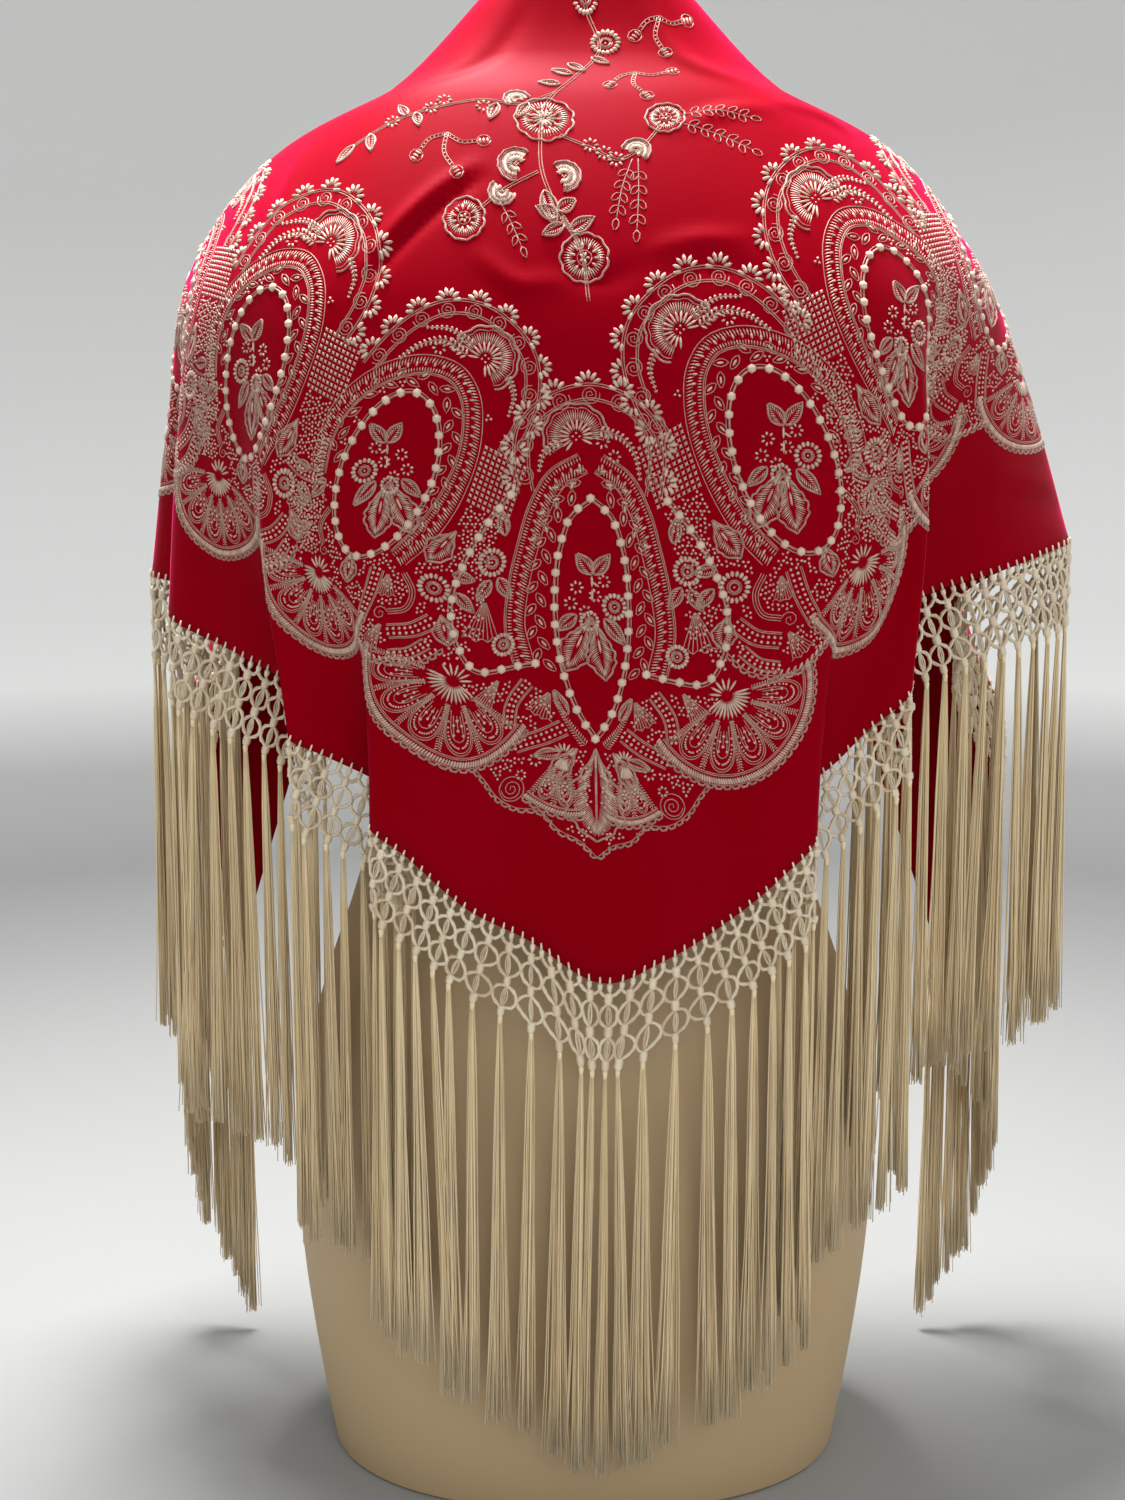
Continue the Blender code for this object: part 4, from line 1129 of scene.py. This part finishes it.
full_size = STITCHES["satin"][0] / 100
for part, (first_s, last_s) in NEEDLEWORK_PARTS.items():
    chosen = (stitch_ends[:, 0].real >= first_s) & (stitch_ends[:, 0].real < last_s)
    ends, sizes = stitch_ends[chosen], stitch_sizes[chosen]
    first, first_up = on_cloth(ends[:, 0])
    last, last_up = on_cloth(ends[:, 1])
    up = first_up + last_up
    up /= np.linalg.norm(up, axis=1, keepdims=True)
    full = sizes[:, 0] >= full_size - 1e-7
    long_enough = np.linalg.norm(last - first, axis=1) > 0.0002
    blocks = []
    for group, shape, pattern, darkest in (
        (~full & long_enough, thin_stitches, THIN_FACES, 0.20), (full & long_enough, full_stitches, FULL_FACES, 0.45),
    ):
        blocks.append((shape(first[group], last[group], up[group], sizes[group]), pattern, darkest))
    chosen = (dots.real >= first_s) & (dots.real < last_s)
    place, up = on_cloth(dots[chosen])
    large = dot_sizes[chosen][:, 0] > LARGE_DOT
    for group, shape, pattern, darkest in ((large, domes, DOME_FACES, 0.75), (~large, knots, KNOT_FACES, 0.55)):
        blocks.append((shape(place[group], up[group], dot_sizes[chosen][group]), pattern, darkest))
    chosen = [k for k, line in enumerate(lines) if first_s <= line[0].real < last_s]
    vertices, faces = ([a] for a in run_lines(chosen))
    count = len(vertices[0])
    tones = [np.repeat(rng.uniform(0, PALEST_LINE, count // 3), 3)]
    for corners, pattern, darkest in blocks:
        number, size = corners.shape[:2]
        vertices.append(corners.reshape(-1, 3))
        faces.append((pattern[None] + count + np.arange(number)[:, None, None] * size).reshape(-1, 3))
        tones.append(np.repeat(rng.uniform(darkest, 1, number), size))
        count += number * size
    piece = new_thread_piece("embroidery_" + part, vertices, faces, tones, cream_stitch)
    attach(piece, "root")

# The knotted net
# Silk cord is hitched through the hem and knotted by hand into open meshes below both short edges. Each column
# has wrapped knots with a leaf of parted threads between them, and its side cords hook into the next column's.
COLUMNS_A_SIDE = 69
COLUMNS = 2 * COLUMNS_A_SIDE
NET_FALLS = (0.0088, 0.0268, 0.0448)  # the wrapped knots' depths below the hem
KNOT_HALF_HEIGHT = 0.0029
KNOT_HALF_WIDTH = 0.0022
CORD_HALF_WIDTH = 0.00096
LEAF_HALF_WIDTH = 0.00048
PEG_HALF_WIDTH = 0.0006
CONE_FOOT = 0.0040  # how far below the hem the cords leave a peg's wrapped cone
CONE_FALLS = (0.0003, 0.0010, 0.0019, 0.0027, 0.0036, 0.0046)
CONE_HALF_WIDTHS = np.array([0.5, 1.45, 1.25, 1.35, 1.0, 0.6]) * 0.00105
WRAP_SHARES = np.array([0.0, 0.12, 0.25, 0.38, 0.52, 0.66, 0.80, 0.90, 1.0])  # rings down a wrapped knot
WRAP_HALF_WIDTHS = np.array([0.5, 1.02, 0.84, 1.06, 0.86, 1.02, 0.80, 0.86, 0.45]) * KNOT_HALF_WIDTH
LEAF_BOW = 0.0016
LEAF_SPREADS = (-1.0, -0.4, 0.4, 1.0)  # the four parted threads of a leaf
CORD_RINGS = 9
# How far a column drifts away from the back point for each metre it falls, against its distance from the point.
NET_DRIFT = [(0.0, 0.0), (0.022, -0.20), (0.042, 0.05), (0.075, 0.34), (0.9, 0.34)]
TIP_TAPER = 0.10  # the drift fades out within this distance of a tip
NET_CREAM = (0.660, 0.480, 0.290, 1)
NET_CREAM_PALE = (1.000, 0.890, 0.680, 1)

hem_places = cloth_places[:, -1]
hem_outward = cloth_normals[:, -1] * np.array([1, 1, 0])
hem_outward /= np.linalg.norm(hem_outward, axis=1, keepdims=True)
hem_length = np.concatenate([[0], np.cumsum(np.linalg.norm(np.diff(hem_places, axis=0), axis=1))])
point_length = hem_length[[row[3] for row in FOLD_LINES].index(0.0) * COLUMNS_A_FOLD_LINE]


def below_hem(length, fall, outward=0.0):
    """A place under the hem: straight down from it by fall, and outward by a distance."""
    place = np.array([np.interp(length, hem_length, hem_places[:, k]) for k in range(3)])
    away = np.array([np.interp(length, hem_length, hem_outward[:, k]) for k in range(3)])
    return place + away / np.linalg.norm(away) * outward - np.array([0, 0, fall])


class Threads:
    """Many tubes gathered into one mesh, each with its own tone in an attribute."""

    def __init__(self):
        self.vertices, self.faces, self.tones, self.count = [], [], [], 0

    def tube(self, path, half_widths, sides, tone, turn=0.0):
        """A closed tube along a path of points, with one half width for each point."""
        path = np.asarray(path, float)
        ahead = np.gradient(path, axis=0)
        ahead /= np.linalg.norm(ahead, axis=1, keepdims=True)
        helper = np.eye(3)[np.abs(ahead).max(axis=0).argmin()]
        side = np.cross(ahead, helper)
        side /= np.linalg.norm(side, axis=1, keepdims=True)
        over = np.cross(side, ahead)
        angles = turn + np.arange(sides) * 2 * np.pi / sides
        ring = np.cos(angles)[None, :, None] * side[:, None] + np.sin(angles)[None, :, None] * over[:, None]
        points = path[:, None] + ring * np.broadcast_to(half_widths, len(path))[:, None, None]
        n = len(path)
        a = (np.arange(n - 1)[:, None] * sides + np.arange(sides)).ravel()
        b = (np.arange(n - 1)[:, None] * sides + (np.arange(sides) + 1) % sides).ravel()
        walls = np.concatenate([np.column_stack([a, a + sides, b]), np.column_stack([b, a + sides, b + sides])])
        fan_corner = np.arange(1, sides - 1)
        start = np.column_stack([np.zeros_like(fan_corner), fan_corner, fan_corner + 1])
        last = (n - 1) * sides
        stop = np.column_stack([np.full_like(fan_corner, last), last + fan_corner + 1, last + fan_corner])
        self.vertices.append(points.reshape(-1, 3))
        self.faces.append(np.concatenate([walls, start, stop]) + self.count)
        self.tones.append(np.full(n * sides, tone))
        self.count += n * sides

    def piece(self, name, finish):
        return new_thread_piece(name, self.vertices, self.faces, self.tones, finish)


side_lengths = (point_length, hem_length[-1] - point_length)
starts = np.concatenate([
    (np.arange(COLUMNS_A_SIDE) + 0.5) * side_lengths[0] / COLUMNS_A_SIDE,
    point_length + (np.arange(COLUMNS_A_SIDE) + 0.5) * side_lengths[1] / COLUMNS_A_SIDE,
])
drift = np.sign(starts - point_length) * np.interp(np.abs(starts - point_length), *np.array(NET_DRIFT).T)
drift *= np.clip(np.minimum(starts, hem_length[-1] - starts) / TIP_TAPER, 0, 1)
numbers = np.concatenate([[-0.5], np.arange(COLUMNS), [COLUMNS - 0.5]])
starts_to_ends = np.concatenate([[0], starts, hem_length[-1:]])
rng = np.random.default_rng(31)
knot_wobble = rng.uniform(-1, 1, (COLUMNS, len(NET_FALLS), 2)) * np.array([0.08, 0.0009])
cross_wobble = rng.uniform(-1, 1, (COLUMNS + 1, len(NET_FALLS), 2)) * np.array([0.07, 0.0012])


def in_net(column, fall, outward=0.0):
    """A place in the net: a column number, which may lie between two, its fall, and how far it stands out."""
    length = np.interp(column, numbers, starts_to_ends) + np.interp(column, range(COLUMNS), drift) * fall
    return below_hem(np.clip(length, 0, hem_length[-1]), fall, outward)


def knot_at(column, row, down=0.0):
    """The middle of a wrapped knot, or a place some way down from it."""
    across, drop = knot_wobble[column, row]
    return in_net(column + across, NET_FALLS[row] + drop + down)


def hitch(net, column):
    """One peg through the hem: a short loop over the edge and the small wrapped cone under it."""
    column += rng.uniform(-0.04, 0.04)
    top, seat = in_net(column, -0.0034, 0.0009), in_net(column, 0.0006, 0.0007)
    net.tube([top, (top + seat) / 2, seat], np.array([0.7, 1.0, 1.0]) * PEG_HALF_WIDTH, 5, rng.uniform(0.4, 1))
    net.tube([in_net(column, -0.0026, -0.0009), in_net(column, 0.0008, -0.0006)], PEG_HALF_WIDTH * 0.8, 4, 0.3)
    net.tube([in_net(column, fall) for fall in CONE_FALLS], CONE_HALF_WIDTHS, 6, rng.uniform(0.4, 1))


def loop_cord(net, places, tone):
    """One side cord, bent through its places and slightly thicker where its twist shows."""
    places = np.array(places)
    knots = np.concatenate([[0], np.cumsum(np.linalg.norm(np.diff(places, axis=0), axis=1))])
    path = smooth_curve(knots, places, np.linspace(0, knots[-1], CORD_RINGS))
    twist = 1 + 0.14 * np.cos(np.arange(CORD_RINGS) * np.pi)
    net.tube(path, CORD_HALF_WIDTH * twist, 4, tone)


cream_cord = Finish("cream_cord", NET_CREAM, Roughness=0.55, Sheen_Weight=0.3)
tone = cream_cord.thread_tone()
place = cream_cord.object_place()
strands = cream_cord.node(
    "ShaderNodeTexWave", {"wave_type": "BANDS", "bands_direction": "DIAGONAL"},
    {"Vector": place, "Scale": 700.0, "Distortion": 2.0, "Detail": 1.0},
)
cream_cord.set("Base Color", cream_cord.blend(tone * 0.6 + strands * 0.4, NET_CREAM, NET_CREAM_PALE))
cream_cord.bump(strands, 0.6, 0.0003)

net_sides = {"left": Threads(), "right": Threads()}
for column in range(COLUMNS):
    net = net_sides["left" if column < COLUMNS_A_SIDE else "right"]
    hitch(net, column)
    for way in (-0.02, 0.02):
        net.tube([in_net(column + way, CONE_FOOT), knot_at(column, 0)], PEG_HALF_WIDTH, 4, rng.uniform(0, 1))
    if column < COLUMNS - 1:
        hitch(net, column + 0.5)
        for neighbour in (column, column + 1):
            begin, end = in_net(column + 0.5, CONE_FOOT), knot_at(neighbour, 0, -0.0014)
            middle = (begin + end) / 2 - np.array([0, 0, 0.0012])
            loop_cord(net, [begin, middle, end], rng.uniform(0, 1))
    for row, fall in enumerate(NET_FALLS):
        up, down = knot_at(column, row, -KNOT_HALF_HEIGHT), knot_at(column, row, KNOT_HALF_HEIGHT)
        wrap = up + (down - up) * WRAP_SHARES[:, None]
        net.tube(wrap, WRAP_HALF_WIDTHS * rng.uniform(0.88, 1.1), 6, rng.uniform(0.45, 1))
        if row == len(NET_FALLS) - 1:
            continue
        below = knot_at(column, row + 1, -KNOT_HALF_HEIGHT * 0.8)
        across = in_net(column + 0.1, fall) - in_net(column - 0.1, fall)
        across /= np.linalg.norm(across)
        f = np.linspace(0, 1, 5)[:, None]
        for spread in LEAF_SPREADS:
            bow = across * spread * LEAF_BOW * rng.uniform(0.6, 1.2)
            net.tube(down * (1 - f) + below * f + np.sin(f * np.pi) * bow, LEAF_HALF_WIDTH, 3, rng.uniform(0, 1))
        gap = NET_FALLS[row + 1] - fall
        for way in (-1, 1):
            pair = column + (way > 0)
            shift, drop = cross_wobble[pair, row]
            if pair in (0, COLUMNS):
                shift = 0.0
            loop_cord(net, [
                knot_at(column, row, KNOT_HALF_HEIGHT * 0.8),
                in_net(column + 0.34 * way, fall + 0.27 * gap),
                in_net(column + 0.49 * way + shift, fall + 0.50 * gap + drop, 0.0004 * way),
                in_net(column + 0.34 * way, fall + 0.74 * gap),
                knot_at(column, row + 1, -KNOT_HALF_HEIGHT * 0.7),
            ], rng.uniform(0, 1))
net_pieces = {}
for side_name, net in net_sides.items():
    net_pieces[side_name] = net.piece("net_" + side_name, cream_cord)
    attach(net_pieces[side_name], "root")

# The tassels
# Each column of the net ends in one long tassel: the cords' own loose silk threads below the last knot, about
# 22 cm long, left untwisted and cut straight across.
THREADS_A_TASSEL = 36
TASSEL_RINGS = 7
TASSEL_FALL = 0.222
THREAD_HALF_WIDTH = 0.00042
COLLAR = [
    # drop, half_width
    (-0.0004, 0.0011), (0.0008, 0.0015), (0.0026, 0.0013), (0.0042, 0.0010),
]
ROOM_FILLED = 0.31  # the share of the room between its neighbours that a tassel's half width fills
TASSEL_SPREAD = (0.0024, 0.0037)  # its least and greatest half width along the hem
TASSEL_DEPTH = 0.0019
TASSEL_SWAY = (0.0030, 0.0009)  # how far a whole tassel leans, along the hem and away from it
THREAD_WAVE = 0.0007
RAGGED_ENDS = 0.0035
STRAY_SHARE = 0.30  # the share of the threads that spread wider towards their ends
TASSEL_CREAM = (0.620, 0.440, 0.215, 1)
TASSEL_PALE = (0.950, 0.790, 0.500, 1)
FLOOR_CLEARANCE = 0.006

cream_thread = Finish("cream_thread", TASSEL_CREAM, Roughness=0.48, Sheen_Weight=0.25)
tone = cream_thread.thread_tone()
place = cream_thread.object_place()
cream_thread.set(
    "Base Color",
    cream_thread.blend(tone * 0.75 + cream_thread.noise(place, 60.0) * 0.25, TASSEL_CREAM, TASSEL_PALE),
)
cream_thread.set("Roughness", tone * 0.15 + 0.40)

roots = np.array([knot_at(column, len(NET_FALLS) - 1, KNOT_HALF_HEIGHT) for column in range(COLUMNS)])
fringe_sides = {"left": Threads(), "right": Threads()}
rng = np.random.default_rng(57)
for column, root in enumerate(roots):
    fringe = fringe_sides["left" if column < COLUMNS_A_SIDE else "right"]
    before, after = roots[max(column - 1, 0)], roots[min(column + 1, COLUMNS - 1)]
    along = (after - before) * np.array([1, 1, 0])
    room = np.linalg.norm(along) / 2
    along /= np.linalg.norm(along)
    away = np.array([along[1], -along[0], 0])
    end = max(FLOOR_CLEARANCE, root[2] - TASSEL_FALL - rng.uniform(-0.003, 0.004))
    spread = np.clip(ROOM_FILLED * room, *TASSEL_SPREAD)
    sway = rng.normal(0, 1, 2) * np.array(TASSEL_SWAY)
    collar = [root - np.array([0, 0, drop]) for drop, _ in COLLAR]
    fringe.tube(collar, [half_width for _, half_width in COLLAR], 6, 0.9)
    for _ in range(THREADS_A_TASSEL):
        angle = rng.uniform(0, 2 * np.pi)
        reach = np.sqrt(rng.uniform(0, 1))
        wide, deep = reach * np.cos(angle), reach * np.sin(angle)
        wave = rng.uniform(0.4, 1.0) * THREAD_WAVE
        phase = rng.uniform(0, 2 * np.pi, 2)
        bottom = end + abs(rng.normal(0, RAGGED_ENDS))
        f = np.linspace(0, 1, TASSEL_RINGS) ** 1.15
        gather = 0.30 + 0.42 * np.clip(f * 5, 0, 1) ** 0.8 + 0.28 * f
        stray = 1.0 + 1.4 * f**1.6 * (rng.uniform() < STRAY_SHARE)
        x = (wide * spread * gather * stray + sway[0] * f + wave * np.sin(f * 9 + phase[0]) * f)[:, None]
        y = (deep * TASSEL_DEPTH * gather * stray + sway[1] * f + wave * np.cos(f * 7 + phase[1]) * f)[:, None]
        path = root + along * x + away * y
        path[:, 2] = (root[2] - 0.002) + (bottom - root[2]) * f
        widths = THREAD_HALF_WIDTH * np.where(f > 0.97, 0.7, 1.0)
        fringe.tube(path, widths, 3, rng.uniform(0, 1), turn=angle)
fringe_pieces = []
for side_name, fringe in fringe_sides.items():
    piece = fringe.piece("tassels_" + side_name, cream_thread)
    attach(piece, "root")
    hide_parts("net_fringe_" + side_name)
    fringe_pieces += [net_pieces[side_name], piece]

# Floor, light and camera
# A floor that bends up into a round pale wall on every side, a soft room light over it, one strong light
# overhead and two weak ones. Near the ground the sweep is painted darker: painted shade against the stronger light
# there.
# SWEEP_SHADE is painted shade on the floor and the foot of the wall. SWEEP_PALE is the wall above it.
SWEEP_PALE = (0.88, 0.885, 0.875, 1)
SWEEP_SHADE = (0.32, 0.322, 0.318, 1)
SWEEP_PROFILE = [
    # reach, height
    (0.02, 0.0), (1.0, 0.0), (1.8, 0.0), (2.4, 0.06), (2.9, 0.32), (3.2, 0.80), (3.3, 1.4), (3.3, 2.4), (3.3, 3.4),
]
SWEEP_POINTS_ROUND = 96
FLOOR_GAP = 0.0005  # keeps the floor's face apart from the form's base
sweep_finish = Finish("sweep_with_painted_shade", SWEEP_PALE, Roughness=0.95, Specular_IOR_Level=0.1)
place = sweep_finish.object_place()
height = sweep_finish.node("ShaderNodeSeparateXYZ", sockets=[place], output=2)
# Painted shade: dark at the floor, pale from about 0.2 m up the wall, to even out the stronger light on the floor. The
# noise is a faint random tone.
floor_shade_by_height = height * 5.0 + sweep_finish.noise(place, 1.3) * 0.06
sweep_finish.set("Base Color", sweep_finish.blend(floor_shade_by_height, SWEEP_SHADE, SWEEP_PALE))
reach, rise = np.array(SWEEP_PROFILE).T
turn = np.arange(SWEEP_POINTS_ROUND) * 2 * np.pi / SWEEP_POINTS_ROUND
sweep = np.stack([
    reach * np.cos(turn)[:, None], reach * np.sin(turn)[:, None],
    np.broadcast_to(rise - FLOOR_GAP, (SWEEP_POINTS_ROUND, len(rise))),
], axis=-1)
spoke, step = np.arange(SWEEP_POINTS_ROUND)[:, None], np.arange(len(rise) - 1)
here, beyond = spoke * len(rise) + step, (spoke + 1) % SWEEP_POINTS_ROUND * len(rise) + step
ring_faces = np.stack([here, here + 1, beyond + 1, beyond], axis=-1).reshape(-1, 4)
floor = new_piece("floor_sweep", sweep.reshape(-1, 3), ring_faces, sweep_finish)

ROOM_GREY = (0.52, 0.525, 0.53, 1)
world = bpy.data.worlds.new("studio")
bpy.context.scene.world = world
world.use_nodes = True
world.node_tree.nodes["Background"].inputs["Color"].default_value = ROOM_GREY

LIGHTS = [
    # name, place, aim, width, power
    ("key", (-0.12, 0.12, 1.75), (0.0, -0.04, 0.65), 0.5, 64.0),
    ("fill", (0.5, -2.2, 1.45), (0.0, 0.0, 0.35), 1.3, 14.0),
    ("side", (1.9, 0.4, 1.5), (0.0, 0.0, 0.50), 1.2, 5.0),
]
for name, spot, aim, width, power in LIGHTS:
    bpy.ops.object.light_add(type="AREA", location=spot)
    light = bpy.context.object
    light.name = name
    light.data.size, light.data.energy = width, power
    light.rotation_euler = (Vector(aim) - Vector(spot)).to_track_quat("-Z", "Y").to_euler()

CAMERA_PLACE = (-0.0129, -1.0356, 0.554)
CAMERA_TILT = 7.9  # degrees below level
bpy.ops.object.camera_add(location=CAMERA_PLACE, rotation=(math.radians(90 - CAMERA_TILT), 0, 0))
camera = bpy.context.object
camera.data.lens, camera.data.sensor_width = 43.2, 36
bpy.context.scene.camera = camera
bpy.context.scene.view_settings.view_transform = "Standard"
